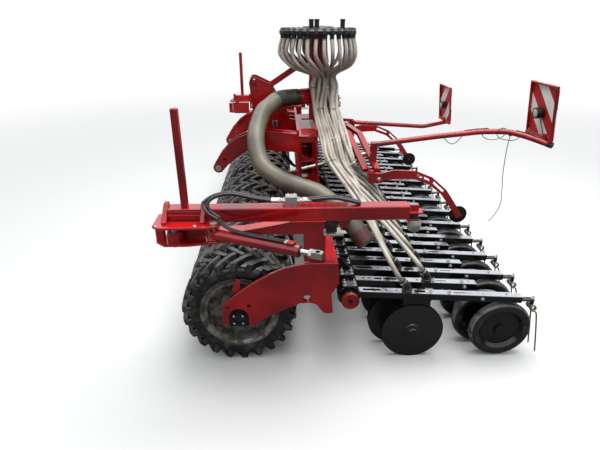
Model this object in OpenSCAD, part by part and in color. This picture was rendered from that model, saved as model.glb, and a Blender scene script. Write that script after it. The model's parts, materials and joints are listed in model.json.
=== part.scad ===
// Mounted seed drill, four metres wide, with its side arms folded back
// X points to the rear, Y to the right-hand side and Z up, in millimetres
// The lengths along X below are counted from a plane between packer and coulters

/* [Rows] */
// Number of seed rows, an even number
row_count = 28; // [24:2:28]
// Distance from row to row
row_pitch = 143; // [140:1:150]
// Width of a coulter arm
coulter_w = 60; // [50:1:62]
// Height of a coulter arm
coulter_h = 46; // [40:1:50]
// Axis of the coulter beam above the ground
coulter_beam_z = 513; // [508:1:518]
// Angle by which the coulter arms slope down to the rear
arm_slope = 3.7; // [3.4:0.1:3.9]

/* [Packer] */
// Outer diameter of a packer tyre out to its lugs
tyre_d = 760; // [740:1:770]
// Width of a packer tyre
tyre_w = 256; // [230:1:260]
// Tyres on each side of the centre bearing
tyre_count = 7; // [7:1:7]
// Distance from tyre to tyre
tyre_pitch = 272; // [270:1:274]
// Place of the packer axle along the machine
packer_x = -312; // [-320:1:-300]
// Lugs around each half of a tyre
lug_count = 22; // [18:1:24]
// Width of a lug
lug_w = 30; // [26:1:34]

/* [Frame] */
// Width and height of the square main beam
beam_s = 160; // [150:1:170]
// Front face of the main beam
beam_x = 160; // [155:1:165]
// Top of the main beam above the ground
beam_top = 770; // [765:1:775]
// Thickness of the side plates
plate_t = 20; // [15:1:25]

/* [Openers] */
// Diameter of the seed discs
disc_d = 420; // [400:1:422]
// Diameter of the press wheels
press_d = 420; // [400:1:422]
// Width of the press wheels
press_w = 72; // [60:1:76]
// Axle of the discs of the long arms
disc_long_x = 848; // [840:1:860]
// Axle of the discs of the short arms
disc_short_x = 780; // [770:1:790]
// Axle of the press wheels of the long arms
press_long_x = 1453; // [1445:1:1460]
// Axle of the press wheels of the short arms
press_short_x = 1385; // [1378:1:1390]

/* [Tower] */
// Centre of the distributor head along the machine
head_x = 312; // [300:1:320]
// Height of the outlets' lower ends
head_z = 1960; // [1900:1:2000]
// Radius of the ring of outlets
head_r = 322; // [300:1:340]
// Outer diameter of a seed hose
hose_d = 33; // [30:1:34]
// Outer diameter of the riser pipe
riser_d = 150; // [140:1:160]
// Outer diameter of the feed hose
feed_d = 145; // [130:1:150]

/* [Hitch] */
// Distance between the two lower link pins
lower_span = 980; // [960:1:1000]
// Diameter of the lower link pins
lower_pin_d = 36.6; // [28:0.1:37]
// Bore of the top link plates
top_bore_d = 32.2; // [25:0.1:33]
// Height of the lower link pins above the ground
lower_z = 936; // [900:1:950]
// Height of the top link pin above the ground
top_z = 1618; // [1600:1:1640]

/* [Side arms] */
// Pivot of a side arm along the machine
pivot_x = -645; // [-650:1:-640]
// Distance of the pivot from the machine's middle
pivot_y = 2010; // [2005:1:2020]
// Diameter of the pivot pin
pivot_d = 50; // [40:1:54]
// Underside of the folded beam
side_z = 1086; // [1080:1:1100]
// Height of the folded beam
side_h = 84; // [76:1:90]
// Width of the folded beam
side_w = 88; // [80:1:96]
// Rear end of the folded beam
side_end = 712; // [700:1:720]
// Angle by which the loose cylinder stands off the beam
cylinder_turn = 25; // [15:1:30]

/* [Markers and boards] */
// Distance of the marker arms from the middle, in row pitches
marker_rows = 6; // [6:1:6]
// Diameter of a marker disc
marker_d = 151; // [140:1:160]
// Width of a warning board
board_w = 375; // [360:1:390]
// Height of a warning board
board_h = 395; // [380:1:410]
// Angle by which the boards lean forward
board_lean = 6; // [0:1:8]
// Lower edge of the left warning board
board_left_z = 1305; // [1295:1:1320]
// Lower edge of the right warning board
board_right_z = 1030; // [1010:1:1050]

/* [Hidden] */
$fn = 48;

// Running clearance on the radius of a turning shaft
fit = 0.05;
// Gap between pieces of two bodies that face each other
gap = 0.3;
// Sizes that follow from the rows
half_w = row_count * row_pitch / 2;
side_rows = row_count / 2;
tyre_r = tyre_d / 2;
centre_gap = 46;
// The side plates stand outside the outermost tyres
plate_y = centre_gap + tyre_count * tyre_pitch + 25;
rim_r = 228;
crown_r = tyre_r - 28;
// A lug runs slantwise over half the tyre, and its flat top meets the outer diameter at its corners
lug_run = 110;
lug_top = sqrt(pow(tyre_r, 2) - pow((lug_run + lug_w) / 2, 2));
// Angle by which each tyre is set on from the one inside it
tyre_step = 5;
axle_r = 40;
journal_r = 30;
beam_low = beam_top - beam_s;
// Coulter beam
coulter_beam_x = 402;
coulter_beam_r = 52;
arm_rise = 12;
arm_end_long = press_long_x + 97;
arm_end_short = press_short_x - 88;
neck_long_x = disc_long_x - 63;
neck_short_x = disc_short_x + 175;
neck_h = 78;
neck_d = 54;
tine_x = arm_end_long + 90;
disc_z = disc_d / 2;
press_z = press_d / 2;
disc_shaft_r = 16;
press_shaft_r = 13;
// Tower
elbow_z = 1472;
neck_ring_z = 1650;
outlet_step = 12;
// The hoses pass the feed hose's branch between these two angles from straight back
gather_low = 20;
gather_high = 110;
inlet_turn = 32;
inlet_len = 220;
// Side arms
lever_t = 16;
pin_dx = 245;
pin_dy = 96;
barrel_d = 62;
barrel_len = 520;
rod_d = 32;
rod_out = 100;
rod_eye = [56, 36, 34];
cylinder_z = side_z - 46;
cylinder_x = pivot_x + pin_dx;
cylinder_y = pivot_y + pin_dy;
bracket_z = 945;
// Top of the folded beam, and the axis of the hoses that lie on it
arm_top_z = side_z + side_h;
arm_hose_d = 20;
valve = [66, 52, 60];
// Markers and boards
marker_y = marker_rows * row_pitch;
marker_pivot = [770, 936];
marker_axle = [1500, 585];
left_tube = [[725, -700, 1170], [1240, -755, 1250], [1615, -790, 1297], [1790, -860, 1312],
             [1890, -980, 1300], [2010, -1138, 1268]];
right_tube = [[735, 640, 1080], [1590, 700, 1010], [1955, 990, 1000]];
tube_d = 45;
tube_bend = 60;
cable_d = 6;
// Distance between the two cranked bars of a side
crank_gap = 100;
board_left_x = 2000;
board_left_y = -1150;
board_right_x = 1930;
board_right_y = 785;
// The machine's length runs from the side brackets' noses to the end of the left board's tube
front_x = -755;
rear_x = left_tube[5][0] + tube_d / 2 * sqrt(1 - pow(unit(left_tube[5] - left_tube[4])[0], 2));
mid_x = (front_x + rear_x) / 2;

// Row number 0 is at the left end, and its arm is a long one
function row_y(i) = (i - (row_count - 1) / 2) * row_pitch;
function is_long(i) = i % 2 == 0;
function unit(v) = v / norm(v);
function along(p, q, s) = p + (q - p) * s;
function arm_top(x) =
    coulter_beam_z + arm_rise + coulter_h / 2 - (x - coulter_beam_x) * tan(arm_slope);
function arm_low(x) = arm_top(x) - coulter_h / cos(arm_slope);

// Points on a smooth curve through the given ones, n to a stretch
function curve_at(a, b, c, d, t) =
    0.5 * (2 * b + (c - a) * t + (2 * a - 5 * b + 4 * c - d) * t * t + (3 * b - a - 3 * c + d) * t * t * t);
function smooth(p, n) =
    [for (i = [0 : len(p) - 2]) for (j = [0 : n - 1])
        curve_at(p[max(i - 1, 0)], p[i], p[i + 1], p[min(i + 2, len(p) - 1)], j / n),
     p[len(p) - 1]];

// Direction of a path at its point i, and a side vector carried along it without twist
function heading(p, i) = unit(p[min(i + 1, len(p) - 1)] - p[max(i - 1, 0)]);
function carry(v, t) = unit(v - (v * t) * t);
function side_vectors(p, first, i = 0) =
    let (v = carry(first, heading(p, i)))
    i == len(p) - 1 ? [v] : concat([v], side_vectors(p, v, i + 1));

// The path with each corner rounded off from s before it to s behind it
function bend(p, i, s) =
    let (a = p[i] + s * unit(p[i - 1] - p[i]), b = p[i] + s * unit(p[i + 1] - p[i]))
    [a, (a + 2 * p[i] + b) / 4, b];
function bent(p, s) =
    concat([p[0]], [for (i = [1 : len(p) - 2]) for (q = bend(p, i, s)) q], [p[len(p) - 1]]);

// A round tube along a path of points
module hose(p, d, sides = 8, first = [1, 0, 0]) {
    v = side_vectors(p, first);
    n = len(p);
    points = [for (i = [0 : n - 1]) let (t = heading(p, i), w = cross(t, v[i])) for (j = [0 : sides - 1])
        p[i] + d / 2 * (cos(360 * j / sides) * v[i] + sin(360 * j / sides) * w)];
    walls = [for (i = [0 : n - 2]) for (j = [0 : sides - 1])
        let (k = (j + 1) % sides)
        [i * sides + j, (i + 1) * sides + j, (i + 1) * sides + k, i * sides + k]];
    start = [[for (j = [0 : sides - 1]) j]];
    finish = [[for (j = [sides - 1 : -1 : 0]) (n - 1) * sides + j]];
    polyhedron(points, concat(start, walls, finish), convexity = 8);
}

// Everything is drawn about the reference plane and then moved to the middle of the machine
module place() {
    translate([-mid_x, 0, 0]) children();
}

module both_sides() {
    children();
    mirror([0, 1, 0]) children();
}

// Turns the z axis from p towards q
module aim(p, q) {
    v = q - p;
    translate(p) rotate([0, acos(v[2] / norm(v)), atan2(v[1], v[0])]) children();
}

module rod(p, q, d) {
    aim(p, q) cylinder(d = d, h = norm(q - p));
}

// A flat bar from p to q, w wide across and t thick
module bar(p, q, w, t) {
    aim(p, q) translate([-t / 2, -w / 2, 0]) cube([t, w, norm(q - p)]);
}

// An outline in X and Z, as a plate of thickness t centred on y
module plate_at(y, t) {
    translate([0, y + t / 2, 0]) rotate([90, 0, 0]) linear_extrude(t) children();
}

// An outline in X and Y, as a plate that lies at height z
module plate_on(z, t) {
    translate([0, 0, z]) linear_extrude(t) children();
}

// A round piece whose axis runs across the machine, centred on y
module round_y(x, y, z, r, w) {
    translate([x, y + w / 2, z]) rotate([90, 0, 0]) cylinder(r = r, h = w);
}

module box(x0, x1, y0, y1, z0, z1) {
    translate([x0, y0, z0]) cube([x1 - x0, y1 - y0, z1 - z0]);
}

module main_beam() {
    color("#8f1519") place() difference() {
        box(beam_x, beam_x + beam_s, -plate_y + plate_t / 2, plate_y - plate_t / 2, beam_low, beam_top);
        box(beam_x + 10, beam_x + beam_s - 10, -plate_y, plate_y, beam_low + 10, beam_top - 10);
    }
}

// Side plate with its arched top edge, its leg and the notch over the axle's end
module side_plate_outline() {
    difference() {
        polygon([[-412, 470], [-395, 486], [-250, 610], [-98, 702], [30, 750], [156, 771], [322, 768],
                 [332, 624], [282, 540], [296, 402], [270, 398], [236, 402], [185, 470], [84, 478],
                 [-30, 425], [-117, 380], [-210, 319], [-300, 312], [-420, 330]]);
        translate([packer_x, tyre_r]) circle(r = 62);
        translate([packer_x - 62, tyre_r - 120]) square([124, 120]);
        translate([-200, 500]) circle(r = 12);
        translate([-360, 490]) circle(r = 10);
        translate([50, 560]) circle(r = 19);
    }
}

module side_plates() {
    color("#8f1519") place() both_sides() {
        plate_at(plate_y, plate_t) side_plate_outline();
    }
}

// Black bearing housings on the ends of the packer axle
module axle_bearings() {
    color("#1c1c1e") place() both_sides() difference() {
        union() {
            round_y(packer_x, plate_y, tyre_r, 62, plate_t);
            box(packer_x - 62, packer_x + 62, plate_y - plate_t / 2, plate_y + plate_t / 2, 312, tyre_r);
            round_y(packer_x, plate_y + 14, tyre_r, 50, 28);
            for (a = [45 : 90 : 315])
                round_y(packer_x + 40 * cos(a), plate_y + 32, tyre_r + 40 * sin(a), 7, 10);
        }
        round_y(packer_x, plate_y, tyre_r, journal_r + fit, 120);
    }
}

// Bearing plate in the middle of the packer, hung from the main beam
module centre_bearing() {
    color("#8f1519") place() difference() {
        plate_at(0, 40) polygon([[-380, 330], [-395, 400], [-330, 470], [-120, 640], [40, 720], [beam_x, 740],
                                 [beam_x, 620], [40, 560], [-200, 360], [-260, 318], [-340, 312]]);
        round_y(packer_x, 0, tyre_r, journal_r + fit, 80);
    }
}

// Lower link arm and the box that runs back to the headstock
module link_arm_outline() {
    difference() {
        union() {
            translate([-585, lower_z]) circle(r = 46);
            polygon([[-622, 962], [-560, 1060], [-478, 1150], [-400, 1205], [-313, 1238], [-178, 1262],
                     [107, 1230], [107, 1070], [-178, 1092], [-320, 1090], [-425, 1020], [-500, 960],
                     [-550, 905]]);
        }
        translate([-525, 1010]) circle(r = 15);
    }
}

module headstock() {
    color("#8f1519") place() {
        both_sides() difference() {
            union() {
                plate_at(lower_span / 2 - 45, 20) link_arm_outline();
                plate_at(lower_span / 2 + 45, 20) link_arm_outline();
                box(-178, 107, lower_span / 2 - 55, lower_span / 2 + 55, 1092, 1228);
            }
            round_y(-585, lower_span / 2, lower_z, lower_pin_d / 2, 140);
        }
        difference() {
            for (x = [107, 270])
                box(x, x + 20, -lower_span / 2 - 56, lower_span / 2 + 56, beam_top, 1262);
            for (y = [-290, 290])
                box(90, 300, y - 110, y + 110, 860, 1060);
        }
        difference() {
            for (y = [-lower_span / 2 + 10, -90, 90, lower_span / 2 - 10])
                box(127, 270, y - 8, y + 8, beam_top, 1180);
            box(150, 247, -lower_span, lower_span, 820, 960);
            box(150, 247, -lower_span, lower_span, 1000, 1140);
        }
        box(127, 270, -lower_span / 2, lower_span / 2, 1180, 1196);
    }
}

module top_link_plates() {
    color("#8f1519") place() {
        both_sides() difference() {
            plate_at(80, 20) difference() {
                polygon([[-318, 1600], [-300, 1650], [-262, 1652], [-125, 1588], [-15, 1400], [50, 1272],
                         [107, 1262], [107, 1130], [-150, 1130], [-290, 1290]]);
                translate([-200, 1420]) circle(r = 14);
            }
            round_y(-275, 80, top_z, top_bore_d / 2, 60);
        }
        difference() {
            bar([-150, 0, 1552], [250, 0, 1810], 40, 50);
            translate([head_x, 0, 1500]) cylinder(d = riser_d, h = 500);
        }
        box(-150, 100, -70, 70, 1135, 1150);
        box(-150, -100, -70, 70, 1515, 1585);
    }
}

module link_pins() {
    color("#a8a8a6") place() {
        both_sides() {
            round_y(-585, lower_span / 2, lower_z, lower_pin_d / 2, 128);
            round_y(-585, lower_span / 2 + 68, lower_z, 26, 8);
        }
    }
}

// Base plate and gussets that carry the riser pipe behind the headstock
module tower_column() {
    color("#8f1519") place() {
        box(head_x - 150, head_x + 90, -110, 110, 1262, 1276);
        for (y = [-60, 60])
            plate_at(y, 14) polygon([[290, 1262], [390, 1262], [390, 1240], [290, 1080]]);
    }
}

// Riser pipe with the branch that takes the feed hose
module riser_pipe() {
    color("#7c1418") place() {
        translate([head_x, 0, 1276]) cylinder(d = riser_d, h = 2000 - 1276);
        translate([head_x, 0, elbow_z]) rotate([0, 0, inlet_turn])
            rotate([0, -90, 0]) cylinder(d = riser_d - 4, h = inlet_len);
    }
}

// Flat distributor head on top of the riser pipe
module distributor_head() {
    color("#19191b") place() translate([head_x, 0, 0]) rotate_extrude() polygon(
        [[0, 2000], [110, 2000], [130, 2012], [head_r + 22, 2012], [head_r + 24, 2038], [head_r - 10, 2056],
         [145, 2056], [135, 2070], [0, 2078]]);
}

// Black sockets under the rim of the head, one for each row, and three stubs on its top
module outlets() {
    color("#19191b") place() {
        for (i = [0 : row_count - 1]) {
            a = outlet_angle(i);
            translate([head_x + head_r * cos(a), head_r * sin(a), head_z])
                cylinder(d = 42, h = 2012 - head_z);
        }
        for (p = [[-69, -190], [-22, -200], [206, -140]])
            translate([head_x + p[0], p[1], 2056]) cylinder(d = 40, h = 75);
    }
}

// Seed hoses: the outermost row of a side takes the foremost outlet, the innermost the rearmost
function outlet_angle(i) =
    let (k = i < side_rows ? i : row_count - 1 - i, s = i < side_rows ? -1 : 1)
    s * (180 - outlet_step * (k + 1));
function hose_route(i) =
    let (s = i < side_rows ? -1 : 1,
         k = i < side_rows ? i : row_count - 1 - i,
         a = outlet_angle(i),
         b = s * (gather_low + (gather_high - gather_low) * (abs(a) - outlet_step) / (180 - 2 * outlet_step)),
         ring = k % 2 == 0 ? 146 : 184,
         column = (floor(k / 2) - (side_rows / 2 - 1) / 2) * 36,
         layer = (k % 2 - 0.5) * 39,
         neck_x = is_long(i) ? neck_long_x : neck_short_x,
         y = row_y(i),
         end_z = arm_top(neck_x) + neck_h)
    [[head_x + head_r * cos(a), head_r * sin(a), head_z + 1],
     [head_x + (head_r + 6) * cos(a), (head_r + 6) * sin(a), head_z - 120],
     [head_x + (ring + 110) * cos(a * 0.6 + b * 0.4), (ring + 110) * sin(a * 0.6 + b * 0.4),
      neck_ring_z + 80],
     [head_x + ring * cos(b), ring * sin(b), neck_ring_z - 60],
     [388 + column, s * (205 + layer * 0.8), 1369 - layer * 0.6],
     [452 + column, s * (420 + layer * 0.7), 1150 - layer * 0.7],
     [490 + column, s * (690 + layer * 0.5), 1010 - layer * 0.8],
     [(490 + column) * 0.5 + (neck_x - 60) * 0.5, s * (690 + layer * 0.5) * 0.45 + y * 0.55, 855 - layer],
     [neck_x - 100, y, end_z + 90],
     [neck_x - 40, y, end_z]];

module seed_hoses_left() {
    color("#a39c90") place() for (i = [0 : side_rows - 1]) hose(smooth(hose_route(i), 2), hose_d, 6);
}

module seed_hoses_right() {
    color("#a39c90") place() for (i = [side_rows : row_count - 1]) hose(smooth(hose_route(i), 2), hose_d, 6);
}

// Thick feed hose, whose front end lies loose over the coulter arms
feed_route = [[125, -117, elbow_z], [61, -160, 1476], [-5, -208, 1477], [-66, -268, 1470], [-125, -338, 1436],
              [-188, -455, 1390], [-235, -700, 1250],
              [-190, -870, 1070], [-40, -1010, 985], [112, -1110, 960], [304, -1180, 920], [480, -1285, 790],
              [570, -1390, 665], [600, -1430, 618]];
module feed_hose() {
    color("#6f6453") place() hose(smooth(feed_route, 4), feed_d, 12, [0, 0, 1]);
}

module coulter_beam() {
    color("#1a1a1c") place() round_y(coulter_beam_x, 0, coulter_beam_z, coulter_beam_r, 2 * half_w);
}

// Round caps on the ends of the coulter beam
module beam_caps() {
    color("#8f1519") place() both_sides() difference() {
        round_y(coulter_beam_x, half_w + 11, coulter_beam_z, coulter_beam_r + 4, 22);
        round_y(coulter_beam_x, half_w + 20, coulter_beam_z, 14, 30);
    }
}

// Clamps that hang the coulter beam behind the main beam
module beam_clamps() {
    color("#1a1a1c") place() for (i = [1 : 4 : row_count - 2]) {
        y = row_y(i) + row_pitch / 2;
        difference() {
            plate_at(y, 40) union() {
                translate([coulter_beam_x, coulter_beam_z]) circle(r = 76);
                polygon([[190, beam_low], [beam_x + beam_s, beam_low], [beam_x + beam_s, beam_low + 60],
                         [beam_x + beam_s + 40, beam_low + 60], [coulter_beam_x + 66, coulter_beam_z + 36],
                         [coulter_beam_x - 20, coulter_beam_z - 74], [190, beam_low - 50]]);
            }
            round_y(coulter_beam_x, y, coulter_beam_z, coulter_beam_r, 60);
        }
    }
}

// One coulter arm with its eye round the beam
module coulter_arm(y, end_x) {
    difference() {
        union() {
            translate([coulter_beam_x, y, coulter_beam_z + arm_rise]) rotate([0, arm_slope, 0])
                translate([20, -coulter_w / 2, -coulter_h / 2])
                    cube([(end_x - coulter_beam_x) / cos(arm_slope) - 20, coulter_w, coulter_h]);
            round_y(coulter_beam_x, y, coulter_beam_z, 74, coulter_w + 8);
        }
        round_y(coulter_beam_x, y, coulter_beam_z, coulter_beam_r, coulter_w + 20);
    }
}

module coulter_arms_long() {
    color("#141416") place() for (i = [0 : 2 : row_count - 1]) coulter_arm(row_y(i), arm_end_long);
}

module coulter_arms_short() {
    color("#141416") place() for (i = [1 : 2 : row_count - 1]) coulter_arm(row_y(i), arm_end_short);
}

// Post under an arm, with the bush in which the shaft of the two discs runs
module opener_post(y, disc_x) {
    difference() {
        union() {
            plate_at(y, 16) polygon([[disc_x - 90, arm_low(disc_x - 90)],
                                     [disc_x + 110, arm_low(disc_x + 110)],
                                     [disc_x + 30, disc_z - 20], [disc_x - 30, disc_z - 20]]);
            round_y(disc_x, y, disc_z, 34, 18);
        }
        round_y(disc_x, y, disc_z, disc_shaft_r + fit, 60);
    }
}

module opener_posts() {
    color("#141416") place() for (i = [0 : row_count - 1])
        opener_post(row_y(i), is_long(i) ? disc_long_x : disc_short_x);
}

// A one-sided fork that is bolted beside the arm and carries the press wheel's shaft
module wheel_fork(y, wheel_x) {
    side_y = y + press_w / 2 + 9;
    plate_at(side_y, 10) polygon([[wheel_x - 230, arm_top(wheel_x - 230) - 8],
                                  [wheel_x - 110, arm_top(wheel_x - 110) - 8],
                                  [wheel_x + 28, press_z + 10], [wheel_x + 10, press_z - 26],
                                  [wheel_x - 24, press_z - 16]]);
    box(wheel_x - 220, wheel_x - 170, y + coulter_w / 2, side_y - 4,
        arm_low(wheel_x - 220) + 8, arm_top(wheel_x - 170) - 8);
    round_y(wheel_x, side_y - 34, press_z, press_shaft_r, 58);
}

module wheel_forks() {
    color("#141416") place() for (i = [0 : row_count - 1])
        wheel_fork(row_y(i), is_long(i) ? press_long_x : press_short_x);
}

// Black elbows on the arms that lead the seed down between the discs
module seed_necks() {
    color("#19191b") place() for (i = [0 : row_count - 1]) {
        x = is_long(i) ? neck_long_x : neck_short_x;
        z = arm_top(x);
        translate([x, row_y(i), z + 2]) cylinder(d = neck_d, h = neck_h - 34);
        translate([x, row_y(i), z + 16]) cylinder(d = neck_d + 5, h = 12);
        rod([x, row_y(i), z + neck_h - 52], [x - 40, row_y(i), z + neck_h], neck_d - 8);
    }
}

// Spring tines behind the long arms
module harrow_tines() {
    color("#4a4640") place() for (i = [0 : 2 : row_count - 1]) {
        y = row_y(i);
        z = arm_low(arm_end_long);
        box(arm_end_long, tine_x - 10, y - 20, y + 20, z + 6, z + 18);
        box(tine_x - 10, tine_x + 6, y - 12, y + 12, z - 40, z + 18);
        round_y(tine_x, y, z - 44, 23, 70);
        for (s = [-1, 1])
            rod([tine_x + 12, y + s * 28, z - 54], [tine_x + 74, y + s * 46, 40], 10);
    }
}

// Pairs of cranked bars from the headstock to the marker brackets, and the rail that bears the hoses
module rear_carrier() {
    color("#b0383c") place() both_sides() {
        box(beam_x + beam_s - 30, 600, 80, 130, 1200, 1230);
        for (x = [0, -crank_gap]) {
            bar([585 + x, 105, 1215], [690 + x, 300, 1170], 50, 30);
            bar([690 + x, 300, 1170], [770 + x, marker_y - 40, 985], 50, 30);
        }
        box(740 - crank_gap, 740, 600, 640, 1048, 1060);
        rod([150, lower_span / 2 + 72, 925], [740, lower_span / 2 + 72, 1066], 28);
        box(270, 290, lower_span / 2 + 56, lower_span / 2 + 86, 930, 980);
    }
}

module marker_brackets() {
    color("#8f1519") place() both_sides() {
        difference() {
            box(688, 800, marker_y - 42, marker_y + 42, 900, 985);
            box(735, 820, marker_y - 22, marker_y + 22, 890, 990);
            round_y(marker_pivot[0], marker_y, marker_pivot[1], 10, 200);
        }
        round_y(marker_pivot[0], marker_y, marker_pivot[1], 10, 100);
    }
}

// Slotted, arched marker arm
module marker_arm() {
    color("#8f1519") difference() {
        plate_at(marker_y, 20) difference() {
            polygon([[750, 905], [745, 960], [900, 1000], [1080, 990], [1230, 930], [1360, 820],
                     [1440, 710], [1525, 590], [1500, 560], [1475, 565], [1390, 690], [1320, 780],
                     [1200, 875], [1060, 925], [900, 920]]);
            polygon([[1080, 945], [1210, 898], [1200, 920], [1090, 968]]);
            polygon([[1235, 880], [1330, 798], [1345, 810], [1240, 900]]);
        }
        round_y(marker_pivot[0], marker_y, marker_pivot[1], 10 + fit, 60);
    }
    color("#8f1519") round_y(marker_axle[0], marker_y - 15, marker_axle[1], 8, 30);
}

module marker_disc() {
    color("#161616") difference() {
        round_y(marker_axle[0], marker_y - 20, marker_axle[1], marker_d / 2, 14);
        round_y(marker_axle[0], marker_y - 20, marker_axle[1], 8 + fit, 30);
    }
}

module marker_arm_left() { place() mirror([0, 1, 0]) marker_arm(); }
module marker_arm_right() { place() marker_arm(); }
module marker_disc_left() { place() mirror([0, 1, 0]) marker_disc(); }
module marker_disc_right() { place() marker_disc(); }

// Tubes that reach back to the warning boards: the left one rises, the right one stays low
module board_tube(p, board_x, board_z) {
    last = len(p) - 1;
    hose(bent(p, tube_bend), tube_d, 24, [0, 0, 1]);
    translate([p[0][0], p[0][1] - 30, p[0][2] - 160]) cube([50, 60, 184]);
    at = along(p[last - 1], p[last], (board_x - 30 - p[last - 1][0]) / (p[last][0] - p[last - 1][0]));
    at_board(board_x, at[1] - 20, board_z)
        translate([-36, 0, at[2] - board_z]) cube([16, 40, board_z - at[2] + 130]);
}

module board_tubes() {
    color("#8f1519") place() {
        board_tube(left_tube, board_left_x, board_left_z);
        board_tube(right_tube, board_right_x, board_right_z);
        // Clip under the left tube, in which the lighting cable is held
        translate(cable_route[0] - [9, 9, 0]) cube([18, 18, 24]);
    }
}

module at_board(x, y, z) {
    translate([x, y, z]) rotate([0, -board_lean, 0]) children();
}

module board() {
    cube([4, board_w, board_h]);
    translate([-20, 0, 0]) difference() {
        cube([20, board_w, board_h]);
        translate([-1, 12, 12]) cube([22, board_w - 24, board_h - 24]);
    }
}

module warning_boards() {
    color("#d8d4d0") place() {
        at_board(board_left_x, board_left_y, board_left_z) board();
        at_board(board_right_x, board_right_y, board_right_z) board();
    }
}

module lamp() {
    translate([-60, board_w / 2, board_h * 0.45]) rotate([0, 90, 0]) cylinder(d = 84, h = 60);
}

module board_lamps() {
    color("#202022") place() {
        at_board(board_left_x, board_left_y, board_left_z) lamp();
        at_board(board_right_x, board_right_y, board_right_z) lamp();
    }
}

// Loose end of the lighting cable, which hangs from a clip under the left tube
cable_route = [[1806, -880, 1280], [1803, -880, 1225], [1800, -881, 1165], [1800, -882, 1100],
               [1803, -882, 1040], [1807, -881, 980], [1812, -880, 925], [1820, -878, 875],
               [1829, -877, 830], [1830, -878, 785], [1838, -880, 740], [1836, -881, 685],
               [1819, -882, 628], [1790, -883, 572], [1760, -884, 535]];
module lamp_cable() {
    color("#202022") place() hose(smooth(cable_route, 3), cable_d, 8);
}

// Fixed bracket over the outer tyre, with the plate that carries the side arm's pivot
module side_brackets() {
    color("#8f1519") place() both_sides() difference() {
        union() {
            plate_on(bracket_z, 16) polygon([[front_x, pivot_y - 50], [front_x, pivot_y + 10],
                [-700, pivot_y + 62], [-560, pivot_y + 62], [-150, pivot_y - 20], [-150, pivot_y - 130],
                [-640, pivot_y - 110]]);
            plate_at(pivot_y - 90, 80) polygon([[-400, bracket_z + 16], [-400, bracket_z + 39],
                [-250, bracket_z + 44], [-80, bracket_z + 74], [20, bracket_z + 95],
                [240, bracket_z + 95], [240, bracket_z + 16]]);
            box(110, 240, pivot_y - 130, pivot_y - 50, beam_top, bracket_z + 20);
            box(225, 335, pivot_y - 60, pivot_y + 25, side_z - 101, side_z - 91);
            box(-700, -480, pivot_y - 70, pivot_y - 56, bracket_z + 16, side_z - 6);
            translate([pivot_x, pivot_y, bracket_z + 16]) cylinder(d = 90, h = 60);
            box(front_x, front_x + 45, pivot_y - 45, pivot_y + 5, bracket_z + 16, side_z - 20);
        }
        translate([pivot_x, pivot_y, bracket_z - 10]) cylinder(d = pivot_d, h = 200);
    }
}

module pivot_pins() {
    color("#8c8a86") place() both_sides() {
        translate([pivot_x, pivot_y, bracket_z - 8]) cylinder(d = pivot_d, h = side_z + 60 - bracket_z);
        translate([pivot_x, pivot_y, bracket_z - 16]) cylinder(d = 70, h = 8);
        translate([pivot_x, pivot_y, side_z + 46 + gap]) cylinder(d = 70, h = 10);
    }
}

// Folded side arm: lever plate, head with its two cheeks, post and long beam
module side_arm() {
    color("#8f1519") {
        difference() {
            union() {
                plate_on(side_z, lever_t) polygon([[pivot_x - 95, pivot_y - 60], [pivot_x - 95, pivot_y + 40],
                    [pivot_x - 40, pivot_y + 70], [cylinder_x - 20, cylinder_y + 34],
                    [cylinder_x + 34, cylinder_y + 10], [cylinder_x + 30, cylinder_y - 40],
                    [cylinder_x - 20, pivot_y - 60]]);
                plate_on(cylinder_z - 48, 12) polygon([[cylinder_x - 70, pivot_y - 20],
                    [cylinder_x - 34, cylinder_y + 34], [cylinder_x + 30, cylinder_y + 24],
                    [cylinder_x + 30, pivot_y - 20]]);
                translate([pivot_x, pivot_y, side_z + lever_t]) cylinder(d = 84, h = 30);
                box(cylinder_x - 70, cylinder_x - 50, pivot_y - 40, pivot_y + 30, cylinder_z - 48, side_z);
                for (x = [pivot_x - 80, pivot_x + 150])
                    box(x, x + 30, pivot_y - 60, pivot_y + 60, side_z + lever_t, side_z + 118);
                box(pivot_x - 50, pivot_x + 150, pivot_y - 50, pivot_y + 50, side_z + 72, side_z + 118);
                box(pivot_x + 62, pivot_x + 110, pivot_y - 24, pivot_y + 24, side_z + 118, 1718);
                box(pivot_x - 80, pivot_x + 180, pivot_y - 60, pivot_y - 50, side_z + lever_t, side_z + 118);
                box(pivot_x + 180, side_end, pivot_y - side_w / 2, pivot_y + side_w / 2, side_z, arm_top_z);
                box(side_end - 10, side_end + 80, pivot_y - 34, pivot_y + 34, side_z + 30, side_z + 42);
                box(side_end - 10, side_end + 60, pivot_y - 6, pivot_y + 6, side_z + 40, arm_top_z - 6);
            }
            translate([pivot_x, pivot_y, side_z - 5]) cylinder(d = pivot_d + 2 * fit, h = 60);
            translate([cylinder_x, cylinder_y, cylinder_z - 60]) cylinder(d = 25, h = 120);
        }
        translate([cylinder_x, cylinder_y, cylinder_z - 52])
            cylinder(d = 25, h = side_z + 32 - cylinder_z + 52);
        plate_at(pivot_y, 14) polygon([[302, side_z], [385, side_z], [372, side_z - 40], [322, side_z - 78]]);
    }
}

module side_arm_left() { place() mirror([0, 1, 0]) side_arm(); }
module side_arm_right() { place() side_arm(); }

// Rubber buffer under the beam and the round pad under its end
module arm_buffers() {
    color("#2a2a2c") {
        box(235, 298, pivot_y - 30, pivot_y + 30, side_z - 80, side_z);
        translate([side_end + 42, pivot_y, side_z - 60]) rotate_extrude()
            polygon([[0, 0], [24, 0], [36, 10], [40, 28], [40, 66], [34, 90], [0, 90]]);
    }
}

module arm_buffers_left() { place() mirror([0, 1, 0]) arm_buffers(); }
module arm_buffers_right() { place() arm_buffers(); }

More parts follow.
